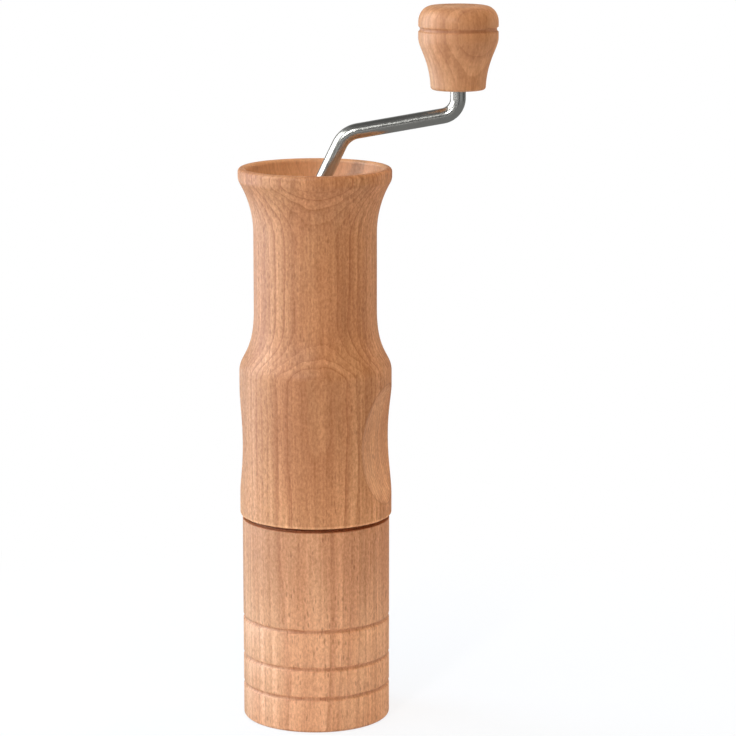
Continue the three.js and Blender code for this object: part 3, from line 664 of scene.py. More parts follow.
# Materials
class Graph:
    """A tree of shading nodes."""

    def __init__(self, tree):
        self.tree = tree

    def add(self, kind, inputs=None, **settings):
        node = self.tree.nodes.new("ShaderNode" + kind)
        for key, value in settings.items():
            setattr(node, key, value)
        for key, value in (inputs or {}).items():
            self.put(node.inputs[key], value)
        return node

    def put(self, socket, value):
        if isinstance(value, bpy.types.NodeSocket):
            self.tree.links.new(value, socket)
        else:
            socket.default_value = value

    def math(self, operation, first, second=0.0, third=0.0):
        return self.add("Math", {0: first, 1: second, 2: third}, operation=operation).outputs[0]

    def times(self, first, second):
        return self.math("MULTIPLY", first, second)

    def minus(self, first, second):
        return self.math("SUBTRACT", first, second)

    def gap(self, first, second):
        return self.math("ABSOLUTE", self.minus(first, second))

    def length(self, east, north):
        return self.math("SQRT", self.math("MULTIPLY_ADD", east, east, self.times(north, north)))

    def fit(self, value, span, ends=(0.0, 1.0), smooth_ends=True):
        """The value carried over from a span to the ends, and held beyond them."""
        inputs = {"Value": value, "From Min": span[0], "From Max": span[1],
                  "To Min": ends[0], "To Max": ends[1]}
        kind = "SMOOTHSTEP" if smooth_ends else "LINEAR"
        return self.add("MapRange", inputs, interpolation_type=kind).outputs[0]

    def place(self):
        """The point's place on its piece, in metres."""
        return self.add("TexCoord").outputs["Object"]

    def scaled(self, vector, scale, place=(0, 0, 0)):
        return self.add("Mapping", {"Vector": vector, "Scale": scale, "Location": place}).outputs[0]

    def noise(self, vector, noise):
        inputs = {"Vector": self.scaled(vector, noise.scale, noise.place), "Scale": 1.0,
                  "Detail": noise.detail, "Roughness": noise.roughness}
        return self.add("TexNoise", inputs).outputs[0]

    def mix(self, share, first, second, blend="MIX"):
        node = self.add("Mix", data_type="RGBA", blend_type=blend)
        colour_sockets = [socket for socket in node.inputs if socket.type == "RGBA"]
        self.put(node.inputs[0], share)
        self.put(colour_sockets[0], first)
        self.put(colour_sockets[1], second)
        return next(socket for socket in node.outputs if socket.type == "RGBA")

    def shade(self, tone, factor):
        """The tone made lighter or darker by a factor about one, and browner where it is darker."""
        green = self.math("POWER", factor, BROWNING_GREEN)
        blue = self.math("POWER", factor, BROWNING_BLUE)
        brown = self.add("CombineColor", {0: factor, 1: green, 2: blue}).outputs[0]
        return self.mix(1.0, tone, brown, "MULTIPLY")

    def figure(self, wood, noise, strength):
        """The wood made lighter and darker by a noise."""
        return self.shade(wood, self.fit(noise, NOISE_SPAN, (1 - strength, 1 + strength), False))

    def stain(self, wood, mask, strength, tone, shares):
        """The wood mixed with these shares of its tone where the mask is."""
        return self.mix(self.times(mask, strength), wood, tinted(tone, shares))

    def bump(self, height, strength, distance):
        inputs = {"Height": height, "Strength": strength, "Distance": distance}
        return self.add("Bump", inputs).outputs[0]


class Material(Graph):
    """A material's nodes, with its first shader linked to the output."""

    def __init__(self, name):
        self.material = bpy.data.materials.new(name)
        self.material.use_nodes = True
        super().__init__(self.material.node_tree)
        self.shader = self.tree.nodes["Principled BSDF"]

    def set(self, name, value):
        self.put(self.shader.inputs[name], value)

    def show(self, shader):
        """Another shader takes the first one's place."""
        self.put(self.tree.nodes["Material Output"].inputs["Surface"], shader.outputs[0])


def tinted(tone, shares=(1, 1, 1)):
    """A colour whose levels are these shares of the tone's."""
    return (*(level * share for level, share in zip(tone, shares)), 1)


def beech(name, tone, log, grooves=(), groove_radius=0.0, painted_light_edge=None, foot=None):
    """Turned beech. Tone is the colour of its early wood. Grooves carry darker burn lines, and other
    levels given with them are darkened by painted shade. Where an edge height is given, a highlight is
    painted on that edge, and light is painted on the scoops and in the mouth above it. A foot is a span
    of heights over which the wood grows paler downwards, as painted bounce light from the floor, and how
    much."""
    graph = Material(name)
    spot = graph.scaled(graph.place(), (1 / MM, 1 / MM, 1 / MM))
    parts = graph.add("SeparateXYZ", {0: spot}).outputs
    grain, reach = log_grain(graph, spot, parts, log.pith, log.tilt)
    tint, line = growth_rings(graph, reach, log.ring_spacing)
    rays = wood_rays(graph, grain)
    streaks = graph.noise(grain, STREAKS)
    fibres = graph.noise(grain, FIBRES)
    clouds = graph.fit(graph.noise(spot, CLOUDS), CLOUD_SPAN)
    wood = graph.mix(clouds, tinted(tone), tinted(tone, CLOUD_SHARES))
    wood = graph.shade(wood, graph.fit(tint, (0.0, 1.0), (1 - RING_TINT, 1 + RING_TINT)))
    wood = graph.figure(wood, graph.noise(grain, BANDS), log.bands)
    wood = graph.stain(wood, line, log.lines, tone, LINE_SHARES)
    wood = graph.figure(wood, streaks, log.streaks)
    wood = graph.figure(wood, fibres, log.fibres)
    wood = graph.stain(wood, rays, log.rays, tone, RAY_SHARES)
    if painted_light_edge is not None:
        # A painted highlight along the barrel's lower edge
        edge = graph.fit(graph.gap(parts[2], painted_light_edge), BURN_SHADE_AND_HIGHLIGHT_SPAN, (1 + EDGE_PAINTED_HIGHLIGHT, 1.0))
        lit_scoop_face, line = scoop_masks(graph, parts)
        # The painted edge highlight goes on, then painted light inside the mouth
        wood = graph.stain(graph.shade(wood, edge), mouth_mask(graph, parts), MOUTH_PAINTED_LIGHT,
                           tone, MOUTH_LIGHT_SHARES)
        # Painted light on the scoops' cut faces
        wood = graph.shade(wood, graph.math("MULTIPLY_ADD", lit_scoop_face, SCOOP_PAINTED_LIGHT, 1.0))
        wood = graph.stain(wood, line, SCOOP_LINE_DARKNESS, tone, SCOOP_LINE_SHARES)
    # Painted bounce light from the floor, paler downwards
    if foot:
        span, paleness = foot
        wood = graph.shade(wood, graph.fit(parts[2], span, (1 + paleness, 1.0)))
    # Burn lines in the grooves, and painted shade at the jar's foot and in its joint
    if grooves:
        burns_and_shade = groove_mask(graph, parts, grooves, groove_radius)
        wood = graph.stain(wood, burns_and_shade, BURN_AND_SHADE_DARKNESS, tone, BURN_AND_SHADE_SHARES)
    graph.set("Base Color", wood)
    graph.set("Roughness", graph.fit(fibres, FIBRE_SPAN, WOOD_ROUGHNESS))
    graph.set("IOR", WOOD_IOR)
    relief = graph.math("ADD", graph.times(streaks, STREAK_RELIEF),
                        graph.math("MULTIPLY_ADD", rays, RAY_RELIEF, fibres))
    graph.set("Normal", graph.bump(relief, *WOOD_BUMP))
    return graph.material


def log_grain(graph, spot, parts, pith, tilt):
    """Place in the log, in millimetres round the pith, out from it and up; also the way out alone."""
    slow, quick = (graph.minus(graph.noise(spot, waves), NOISE_MIDDLE)
                   for waves in (SLOW_WAVES, QUICK_WAVES))
    shift = graph.math("MULTIPLY_ADD", slow, SLOW_WARP, graph.times(quick, QUICK_WARP))
    height = parts[2]
    east, north = (graph.minus(parts[axis], graph.math("MULTIPLY_ADD", height, tilt[axis], pith[axis]))
                   for axis in (0, 1))
    reach = graph.math("ADD", graph.length(east, north), shift)
    way_round = graph.times(graph.math("ARCTAN2", east, north), math.hypot(*pith))
    grain = graph.add("CombineXYZ", {0: way_round, 1: reach, 2: height}).outputs[0]
    return grain, reach


def growth_rings(graph, reach, spacing):
    """A tint that differs from ring to ring, and the dark line that closes each ring."""
    uneven = graph.noise(graph.add("CombineXYZ", {0: reach}).outputs[0], RING_WAVES)
    count = graph.math("ADD", uneven, graph.math("DIVIDE", reach, spacing))
    share = graph.math("FRACT", count)
    ring = graph.math("FLOOR", count)
    chance = graph.add("TexWhiteNoise", {"W": ring}, noise_dimensions="1D").outputs["Value"]
    edge = graph.times(graph.math("POWER", share, RING_POWER),
                       graph.fit(share, RING_CLOSE_SPAN, (1.0, 0.0)))
    strength = graph.fit(chance, (0.0, 1.0), RING_LINE_LEVELS, False)
    tint = graph.math("MULTIPLY_ADD", share, -RING_FADE, graph.math("ADD", chance, RING_FADE / 2))
    return tint, graph.times(edge, strength)


def wood_rays(graph, grain):
    """Rays, seen on faces that follow the rings as short dark upright dashes."""
    inputs = {"Vector": graph.scaled(grain, RAY_SCALE), "Scale": 1.0, "Randomness": 1.0}
    cells = graph.add("TexVoronoi", inputs).outputs
    dash = graph.fit(cells["Distance"], RAY_SPAN, (1.0, 0.0))
    chance = graph.add("SeparateColor", {0: cells["Color"]}).outputs[0]
    dash = graph.times(dash, graph.fit(chance, RAY_CHANCE_SPAN))
    return graph.times(dash, graph.fit(graph.noise(grain, RAY_CROWDS), RAY_CROWD_SPAN, RAY_CROWD_LEVELS))


def axis_reach(graph, parts):
    """The distance from the piece's axis, in millimetres."""
    return graph.length(parts[0], parts[1])


def groove_mask(graph, parts, levels, radius):
    """Where the burnished grooves are, and the painted shade at any other level given, by height and by
    distance from the axis.
    """
    mask = 0.0
    for level in levels:
        near = graph.fit(graph.gap(parts[2], level), BURN_SHADE_AND_HIGHLIGHT_SPAN, (1.0, 0.0))
        mask = graph.math("MAXIMUM", mask, near)
    rim = radius - BURN_AND_SHADE_REACH
    return graph.times(mask, graph.fit(axis_reach(graph, parts), (rim - MASK_EDGE, rim)))


def mouth_mask(graph, parts):
    """Where light is painted inside the mouth: nearer the axis than the middle of its flaring wall."""
    height = graph.minus(parts[2], MOUTH_WALL_FOOT)
    middle = graph.math("MULTIPLY_ADD", height, MOUTH_WALL_SLOPE, MOUTH_WALL_RADIUS)
    off = graph.minus(axis_reach(graph, parts), middle)
    inside = graph.fit(off, (-MASK_EDGE, MASK_EDGE), (1.0, 0.0))
    return graph.times(inside, graph.fit(height, (-MOUTH_FADE, 0.0)))


def scoop_masks(graph, parts):
    """The cut faces of the finger scoops, with light painted on them, and the fine dark line where they
    meet the turned side.
    """
    reach = SCOOP_HEIGHT / 2 / MM
    height = graph.gap(parts[2], (barrel_low.z + SCOOP_RISE) / MM)
    level = graph.fit(height, (reach, reach + MASK_EDGE), (1.0, 0.0))
    depth = graph.minus(BARREL_RADIUS / MM, axis_reach(graph, parts))
    lit_scoop_face = graph.fit(depth, (0.0, SCOOP_FADE))
    line = graph.fit(graph.gap(depth, SCOOP_LINE_DEPTH), (0.0, SCOOP_LINE_WIDTH), (1.0, 0.0))
    return graph.times(lit_scoop_face, level), graph.times(line, level)


def even_finish(name, tone, shares, clouds, grain, roughness, bump, metallic=0.0):
    """A tone clouded between two shares of itself, with a fine grain in its gloss and relief."""
    graph = Material(name)
    place = graph.place()
    dark, light = (tinted(tone, (share,) * 3) for share in shares)
    cloud = graph.fit(graph.noise(place, clouds), CLOUD_REACH)
    relief = graph.noise(place, grain)
    graph.set("Base Color", graph.mix(cloud, dark, light))
    graph.set("Metallic", metallic)
    graph.set("Roughness", graph.fit(relief, NOISE_SPAN, roughness))
    graph.set("Normal", graph.bump(relief, *bump))
    return graph.material


def metal(name, tone, roughness, streaks):
    """Bar-finished metal, with fine lines along Z."""
    return even_finish(name, tone, METAL_SHARES, METAL_CLOUDS, METAL_LINES,
                       (roughness - streaks, roughness + streaks), METAL_BUMP, 1.0)


def moulded(name, tone, roughness, grain_height):
    """Moulded plastic, rubber or fired ceramic."""
    return even_finish(name, tone, MOULD_SHARES, MOULD_CLOUDS, MOULD_GRAIN,
                       (roughness - MOULD_SMOOTHER, roughness + MOULD_ROUGHER),
                       (MOULD_BUMP, grain_height))


# Turned pieces
def grounds_jar():
    radius, height = jar_high.x, jar_high.z
    joint = height - JOINT_GAP
    outline = Outline(0, 0).arc(radius - JAR_BASE_ROUND, JAR_BASE_ROUND, JAR_BASE_ROUND, -QUARTER_TURN)
    for share in JAR_GROOVE_SHARES:
        outline.groove(share * height, JAR_GROOVE_WIDTH, JAR_GROOVE_DEPTH)
    outline.along(joint - GROOVE_EDGE).to(radius - GROOVE_EDGE, joint)
    outline.across(radius - JOINT_DEPTH).along(height)
    outline.arc(JAR_BORE + JAR_MOUTH_ROUND, height - JAR_MOUTH_ROUND, JAR_MOUTH_ROUND, QUARTER_TURN,
                steps=JAR_MOUTH_STEPS)
    outline.arc(JAR_BORE - JAR_FLOOR_ROUND, JAR_FLOOR + JAR_FLOOR_ROUND, JAR_FLOOR_ROUND,
                0, -QUARTER_TURN)
    return revolve("jar_turned", outline.across(0), JAR_SIDES)


def scooped(radius, height, angle):
    """The barrel's radius once a finger scoop has been cut from each side, with a softened rim."""
    bend = (SCOOP_HEIGHT ** 2 / 4 + SCOOP_DEPTH ** 2) / (2 * SCOOP_DEPTH)
    off = height - barrel_low.z - SCOOP_RISE
    if abs(off) >= bend:
        return radius
    distance = BARREL_RADIUS - SCOOP_DEPTH + bend - math.sqrt(bend ** 2 - off ** 2)
    facing = abs(math.cos(angle - SCOOP_DIRECTION))
    if facing * radius < distance - SCOOP_EDGE:
        return radius
    flat = distance / facing
    blend = max(SCOOP_EDGE - abs(radius - flat), 0) / SCOOP_EDGE
    return min(radius, flat) - blend ** 2 * SCOOP_EDGE / 4


def mill_barrel():
    base, top = barrel_low.z, barrel_high.z
    edge_base = base + JOINT_RISE
    shoulder_base = base + SHOULDER_START
    neck_base = shoulder_base + SHOULDER_HEIGHT
    neck_top = top - FLARE_HEIGHT
    sine, cosine = math.sin(FLARE_SWEEP), math.cos(FLARE_SWEEP)
    side_centre = NECK_RADIUS + FLARE_RADIUS * (1 - cosine) - LIP_SIDE_RADIUS * cosine
    side_level = neck_top + (FLARE_RADIUS + LIP_SIDE_RADIUS) * sine
    rim_radius = side_centre + LIP_SIDE_RADIUS
    mouth_radius = rim_radius - RIM_WALL
    mouth_base = top - MOUTH_DEPTH
    mouth_middle = mouth_base + MOUTH_CURVE_SHARE * MOUTH_DEPTH
    outline = Outline(COUNTERBORE_RADIUS, base).across(BARREL_RADIUS - 2 * JOINT_DEPTH)
    outline.along(edge_base)
    outline.arc(BARREL_RADIUS - BARREL_EDGE_ROUND, edge_base + BARREL_EDGE_ROUND, BARREL_EDGE_ROUND,
                -QUARTER_TURN)
    outline.along(shoulder_base, ROW_STEP)
    outline.curve((BARREL_RADIUS, shoulder_base + SHOULDER_START_SHARE * SHOULDER_HEIGHT),
                  (NECK_RADIUS, neck_base - SHOULDER_END_SHARE * SHOULDER_HEIGHT),
                  (NECK_RADIUS, neck_base), SHOULDER_STEPS)
    outline.along(neck_top, NECK_ROW_STEP)
    outline.arc(NECK_RADIUS + FLARE_RADIUS, neck_top, FLARE_RADIUS, math.pi, -FLARE_SWEEP, FLARE_STEPS)
    outline.arc(side_centre, side_level, LIP_SIDE_RADIUS, -FLARE_SWEEP, FLARE_SWEEP, LIP_SIDE_STEPS)
    for centre, start in ((rim_radius - LIP_ROUND, 0), (mouth_radius + LIP_ROUND, QUARTER_TURN)):
        outline.arc(centre, top - LIP_ROUND, LIP_ROUND, start, steps=LIP_STEPS)
    outline.curve((mouth_radius - LIP_ROUND, mouth_middle), (HOPPER_RADIUS, mouth_middle),
                  (HOPPER_RADIUS, mouth_base), MOUTH_STEPS)
    outline.along(stay_low.z + STAY_HUB_DROP, HOPPER_ROW_STEP).across(THROAT_RADIUS)
    outline.along(COUNTERBORE_TOP).across(COUNTERBORE_RADIUS)
    return cut(revolve("barrel_turned", outline, WOOD_SIDES, scooped),
               *screw_holes(CARRIER_SCREW_START, carrier_screw_circle, base - OVERRUN,
                            carrier_screw_high.z + SEAT_GAP))


def knob():
    """Turned about its own axis, with height 0 at its foot."""
    height = plug_high.z - knob_low.z
    low_waist, high_waist, widest = (share * height for share in KNOB_WAIST_SHARES)
    crown_base, crown_handle = (share * height for share in KNOB_CROWN_SHARES)
    collar_bore = half_width("knob_collar") + SEAT_GAP
    outline = Outline(collar_bore, 0)
    outline.arc(KNOB_FOOT_RADIUS - KNOB_FOOT_ROUND, KNOB_FOOT_ROUND, KNOB_FOOT_ROUND, -QUARTER_TURN)
    outline.curve((KNOB_FOOT_RADIUS + KNOB_FLARE, low_waist), (KNOB_RADIUS, high_waist),
                  (KNOB_RADIUS, widest), KNOB_SIDE_STEPS)
    outline.groove(KNOB_GROOVE_SHARE * height, KNOB_GROOVE_WIDTH, KNOB_GROOVE_DEPTH)
    outline.along(crown_base)
    outline.curve((KNOB_RADIUS, crown_handle), (KNOB_RADIUS - KNOB_CROWN_INSET, height),
                  (KNOB_TOP_RADIUS, height), KNOB_CROWN_STEPS)
    outline.across(half_width("knob_plug") + SEAT_GAP).along(bush_high.z - BUSH_FLANGE - knob_low.z)
    outline.across(BUSH_RADIUS + SEAT_GAP).along(COLLAR_RECESS).across(collar_bore)
    piece = revolve("knob_turned", outline, KNOB_SIDES)
    piece.location = (CRANK_REACH, 0, knob_low.z)
    return piece


def knob_plug():
    radius = half_width("knob_plug")
    thickness = plug_high.z - plug_low.z
    outline = Outline(0, 0).across(radius)
    outline.arc(radius - PLUG_ROUND, thickness - PLUG_ROUND, PLUG_ROUND, 0).across(0)
    piece = revolve("plug_turned", outline, METAL_SIDES)
    piece.location = (CRANK_REACH, 0, plug_low.z)
    return piece


# Crank
def bent_stations(start, corners, end):
    """Stations along straight runs in the XZ plane with a round bend at each corner."""
    places = [start] + [place for place, _ in corners] + [end]
    stations = [(start, (places[1] - start).normalized())]
    for index, (place, bend) in enumerate(corners):
        before = (place - places[index]).normalized()
        after = (places[index + 2] - place).normalized()
        turn = before.angle(after)
        setback = bend * math.tan(turn / 2)
        centre = place + math.hypot(bend, setback) * (after - before).normalized()
        axis = before.cross(after).normalized()
        arm = place - setback * before - centre
        for step in range(BEND_STEPS + 1):
            spin = Matrix.Rotation(turn * step / BEND_STEPS, 3, axis)
            stations.append((centre + spin @ arm, spin @ before))
    stations.append((end, (end - places[-2]).normalized()))
    return stations


def rod_end(point, inward):
    """Stations that round the rod's edge at one end, from that end inwards."""
    angles = [QUARTER_TURN * step / ROD_END_STEPS for step in range(ROD_END_STEPS + 1)]
    return [(point + inward * ROD_END_ROUND * (1 - math.cos(angle)), UP,
             ROD_RADIUS - ROD_END_ROUND * (1 - math.sin(angle))) for angle in angles]


def crank_rod():
    """The bent rod, with rounded ends and the knob clip's groove."""
    top = barrel_high.z
    tip = top + ARM_LIFT
    path = bent_stations(Vector((0, 0, rod_low.z)), [
        (Vector((0, 0, top - ROD_TURN_DROP)), FOOT_BEND),
        (Vector((ELBOW_REACH, 0, tip - ELBOW_DROP)), ELBOW_BEND),
        (Vector((CRANK_REACH, 0, tip)), TIP_BEND),
    ], Vector((CRANK_REACH, 0, rod_high.z)))
    stations = rod_end(path[0][0], UP)
    stations += [(point, tangent, ROD_RADIUS) for point, tangent in path[1:-1]]
    neck = ROD_RADIUS - CLIP_GROOVE_DEPTH
    low, high = clip_low.z - SEAT_GAP, clip_high.z + SEAT_GAP
    for level, radius in ((low, ROD_RADIUS), (low, neck), (high, neck), (high, ROD_RADIUS)):
        stations.append((Vector((CRANK_REACH, 0, level)), UP, radius))
    stations += reversed(rod_end(path[-1][0], -UP))
    rod = sweep("rod_bent", stations, ROD_SIDES, lambda point: Vector((0, 1, 0)))
    return cut(rod, pin_bar(PIN_RADIUS + SEAT_GAP, OVERRUN))


def pin_bar(radius, overrun=0.0):
    """A level bar along the socket pin, with chamfered ends."""
    half = (pin_high.y - pin_low.y) / 2 + overrun
    outline = Outline(0, -half).side(radius, -half, half, 2 * FINE_EDGE).across(0)
    bar = revolve("bar", outline, ROD_SIDES)
    bar.data.transform(Matrix.Rotation(QUARTER_TURN, 4, "X"))
    return moved(bar, 0, 0, (pin_low.z + pin_high.z) / 2)


def drive_socket():
    low, high = socket_low.z, socket_high.z
    rod_bore = ROD_RADIUS + SEAT_GAP
    hex_bore = rod_bore * HEX_APOTHEM
    outline = Outline(hex_bore, low).side(socket_high.x, low, high, SOCKET_CHAMFER).across(rod_bore)
    outline.along(low + HEX_ENGAGEMENT).across(hex_bore)

    def shaped(radius, height, angle):
        if abs(radius - hex_bore) < TINY:
            return polygon_reach(hex_bore, angle)
        return radius
    socket = revolve("socket_turned", outline, METAL_SIDES, shaped)
    return cut(socket, pin_bar(PIN_RADIUS + SEAT_GAP, OVERRUN))


def socket_pin():
    return pin_bar(PIN_RADIUS)


# Burr set and shaft
def spider(reach, arm_low, arm_high, hub_low, hub_high):
    arms = [block(reach, ARM_WIDTH, arm_low, arm_high, reach / 2, angle) for angle in around(ARM_COUNT)]
    return [disc(HUB_RADIUS, hub_low, hub_high)] + arms


def screw_holes(start, circle, low, high):
    return [moved(disc(SCREW_RADIUS + SCREW_CLEARANCE, low, high, SCREW_SIDES),
                  circle * math.cos(angle), circle * math.sin(angle))
            for angle in around(ARM_COUNT, start)]


def burr_carrier():
    pocket = ring_high.x + SEAT_GAP
    base = barrel_low.z - FLANGE_THICKNESS
    spigot = carrier_high.x
    shoulder = ring_high.z + SEAT_GAP
    funnel_mouth = RING_LAND_RADIUS - RING_TAPER + TOOTH_DEPTH
    seal_level = carrier_low.z + SEAL_HEIGHT_SHARE * (base - carrier_low.z)
    seal_half = (seal_high.z - seal_low.z) / 2 + SEAT_GAP
    hub_top = carrier_high.z - CARRIER_RISE
    hub_base = hub_top - HUB_HEIGHT
    outline = Outline(pocket, base).across(spigot - SPIGOT_WALL).along(carrier_low.z)
    outline.across(spigot - SPIGOT_WALL / 2).to(spigot, carrier_low.z + SPIGOT_WALL / 2)
    outline.along(seal_level - seal_half).across(seal_high.x - 2 * seal_half + SEAT_GAP)
    outline.along(seal_level + seal_half).across(spigot)
    outline.along(barrel_low.z).across(pocket + CARRIER_WALL).along(carrier_high.z)
    outline.across(pocket).along(shoulder + FUNNEL_RISE)
    outline.to(funnel_mouth, shoulder + FUNNEL_WALL).along(shoulder).across(pocket)
    body = join(revolve("carrier_moulded", outline, JAR_SIDES),
                *spider(pocket + CARRIER_WALL / 2, hub_top - ARM_HEIGHT, hub_top - FINE_EDGE,
                        hub_base, hub_top))
    low, high = base - OVERRUN, barrel_low.z + OVERRUN
    cut(body, disc(HUB_BORE, hub_base - OVERRUN, hub_top + OVERRUN),
        *screw_holes(CARRIER_SCREW_START, carrier_screw_circle, low, high),
        *screw_holes(RETAINER_SCREW_START, retainer_screw_circle, low, high))
    return eased(body, EASED_EDGE)


def ring_burr():
    land = ring_low.z + FINISHING_HEIGHT - BURR_DROP
    outline = Outline(RING_LAND_RADIUS, ring_low.z)
    outline.side(ring_high.x, ring_low.z, ring_high.z, EASED_EDGE)
    outline.across(RING_LAND_RADIUS - RING_TAPER).to(RING_LAND_RADIUS, land, RING_ROW_STEP)

    def toothed(radius, height, angle):
        if radius > RING_LAND_RADIUS + TINY:
            return radius
        return radius + TOOTH_DEPTH * groove_share(angle, RING_TEETH)
    return revolve("ring_burr_fired", outline, RING_TEETH * TOOTH_STEPS, toothed)


def cone_burr():
    finishing = cone_low.z + FINISHING_HEIGHT
    outline = Outline(CONE_BORE, cone_low.z).across(cone_high.x).along(finishing)
    outline.to(CONE_TOP_RADIUS, cone_high.z, CONE_ROW_STEP).across(CONE_BORE)

    def toothed(radius, height, angle):
        if radius < CONE_BORE + TINY:
            return radius
        climb = max(height - finishing, 0) / (cone_high.z - finishing)
        return radius - TOOTH_DEPTH * groove_share(angle - climb * CONE_TWIST, CONE_TEETH)
    return revolve("cone_burr_fired", outline, CONE_TEETH * CONE_TOOTH_STEPS, toothed)


def burr_core():
    """A flanged sleeve whose bore has the shaft's two flats."""
    low, high = core_low.z, core_high.z
    bore = ROD_RADIUS + SEAT_GAP
    outline = Outline(bore, low).side(core_high.x, low, low + CORE_FLANGE, EASED_EDGE)
    outline.across(CORE_RADIUS).along(high - EASED_EDGE).to(CORE_RADIUS - EASED_EDGE, high)
    outline.across(bore)

    def keyed(radius, height, angle):
        if radius > bore + TINY:
            return radius
        return min(radius, (FLAT_HALF_WIDTH + SEAT_GAP) / max(abs(math.cos(angle)), TINY))
    return revolve("core_moulded", outline, FLAT_SIDES, keyed)


def burr_retainer():
    """A flat ring with three ears for its screws."""
    opening = RING_LAND_RADIUS + TOOTH_DEPTH + SEAT_GAP
    outer = ring_high.x + SEAT_GAP + CARRIER_WALL / 2
    ear = retainer_high.y - retainer_screw_circle
    low, high = retainer_low.z, retainer_high.z

    def eared(radius, height, angle):
        if radius < opening + EASED_EDGE + TINY:
            return radius
        reach = radius
        for place in around(ARM_COUNT, RETAINER_SCREW_START):
            aside = retainer_screw_circle * math.sin(angle - place)
            along = retainer_screw_circle * math.cos(angle - place)
            if abs(aside) < ear and along > 0:
                reach = max(reach, along + math.sqrt(ear ** 2 - aside ** 2) + radius - outer)
        return reach
    outline = Outline(opening, low).side(outer, low, high, EASED_EDGE).across(opening)
    return cut(revolve("retainer_stamped", outline, EAR_SIDES, eared),
               *screw_holes(RETAINER_SCREW_START, retainer_screw_circle, low - OVERRUN, high + OVERRUN))


def adjuster():
    """A lobed nut with a hexagonal pocket for its insert."""
    pocket = insert_high.x + SEAT_GAP * HEX_APOTHEM
    bore = ROD_RADIUS + 2 * SEAT_GAP
    outer = adjuster_high.x - LOBE_DEPTH
    edge = LOBE_EDGE_ROUND
    outline = Outline(bore, adjuster_low.z)
    for level, start in ((adjuster_low.z + edge, -QUARTER_TURN), (adjuster_high.z - edge, 0)):
        outline.arc(outer - edge, level, edge, start, steps=LOBE_EDGE_STEPS)
    outline.across(pocket).along(insert_low.z - SEAT_GAP).across(bore)

    def shaped(radius, height, angle):
        if radius > outer - edge - TINY:
            return radius + LOBE_DEPTH * math.cos(LOBES * angle)
        if abs(radius - pocket) < TINY:
            return polygon_reach(pocket, angle, math.pi / HEX_SIDES)
        return radius
    return revolve("adjuster_moulded", outline, LOBES * TOOTH_STEPS, shaped)


def adjuster_insert():
    low, high = insert_low.z, insert_high.z
    apothem = insert_high.x
    bore = ROD_RADIUS + SEAT_GAP
    outline = Outline(bore + FINE_EDGE, low).across(apothem).along(high)
    outline.side(bore, high, low, -FINE_EDGE, THREAD_STEP)

    def shaped(radius, height, angle):
        if abs(radius - apothem) < TINY:
            return polygon_reach(apothem, angle, math.pi / HEX_SIDES)
        if abs(radius - bore) < TINY:
            return radius + THREAD_DEPTH * thread_share(angle, height)
        return radius
    return revolve("insert_turned", outline, HEX_SIDES * TOOTH_STEPS, shaped)


def burr_spring():
    coil = SPRING_COIL_RADIUS
    climb = spring_high.z - spring_low.z - 2 * SPRING_WIRE
    slope = climb / (FULL_TURN * SPRING_TURNS * coil)
    stations = []
    for step in range(SPRING_TURNS * SPRING_STEPS + 1):
        angle = FULL_TURN * step / SPRING_STEPS
        height = spring_low.z + SPRING_WIRE + climb * step / (SPRING_TURNS * SPRING_STEPS)
        point = Vector((coil * math.cos(angle), coil * math.sin(angle), height))
        stations.append((point, Vector((-math.sin(angle), math.cos(angle), slope)).normalized(),
                         SPRING_WIRE))
    return sweep("spring_coiled", stations, SPRING_SIDES,
                 lambda point: Vector((point.x, point.y, 0)).normalized())


def drive_shaft():
    """Round bar with two flats and a thread low down, two clip grooves and a hexagonal top."""
    radius, high = ROD_RADIUS, shaft_high.z
    flats_top = cone_high.z
    hex_low = shaft_clip_high.z + HEX_START_GAP
    outline = Outline(0, shaft_low.z).across(radius - SHAFT_EDGE).to(radius, shaft_low.z + SHAFT_EDGE)
    for clip_base, clip_top in ((end_clip_low.z, end_clip_high.z), (shaft_clip_low.z, shaft_clip_high.z)):
        if clip_base > flats_top:
            outline.along(adjuster_high.z, THREAD_STEP).along(flats_top - TINY).along(flats_top)
        outline.along(clip_base - SEAT_GAP).across(radius - CLIP_GROOVE_DEPTH)
        outline.along(clip_top + SEAT_GAP).across(radius)
    outline.along(hex_low - TINY).along(hex_low).along(high - SHAFT_EDGE)
    outline.to(radius - SHAFT_EDGE, high).across(0)

    def shaped(reach, height, angle):
        if height >= hex_low:
            return min(reach, polygon_reach(radius * HEX_APOTHEM, angle))
        if height >= flats_top:
            return reach
        if end_clip_high.z + SEAT_GAP < height < adjuster_high.z:
            reach -= THREAD_DEPTH * thread_share(angle, height)
        return min(reach, FLAT_HALF_WIDTH / max(abs(math.cos(angle)), TINY))
    return revolve("shaft_turned", outline, FLAT_SIDES, shaped)


def upper_stay():
    inner, outer = THROAT_RADIUS, stay_high.x
    low = stay_low.z + STAY_HUB_DROP
    high = low + STAY_THICKNESS
    rim = tube("stay_pressed", inner, outer, low, high, JAR_SIDES)
    join(rim, *spider((inner + outer) / 2, low + FINE_EDGE, high - FINE_EDGE, stay_low.z, stay_high.z))
    cut(rim, disc(HUB_BORE, stay_low.z - OVERRUN, stay_high.z + OVERRUN))
    return eased(rim, EASED_EDGE)


def seal_ring():
    wire = (seal_high.z - seal_low.z) / 2
    level = (seal_high.z + seal_low.z) / 2
    outline = Outline(seal_high.x, level)
    outline.arc(seal_high.x - wire, level, wire, 0, FULL_TURN, SPRING_SIDES)
    return revolve("seal_moulded", outline, JAR_SIDES)


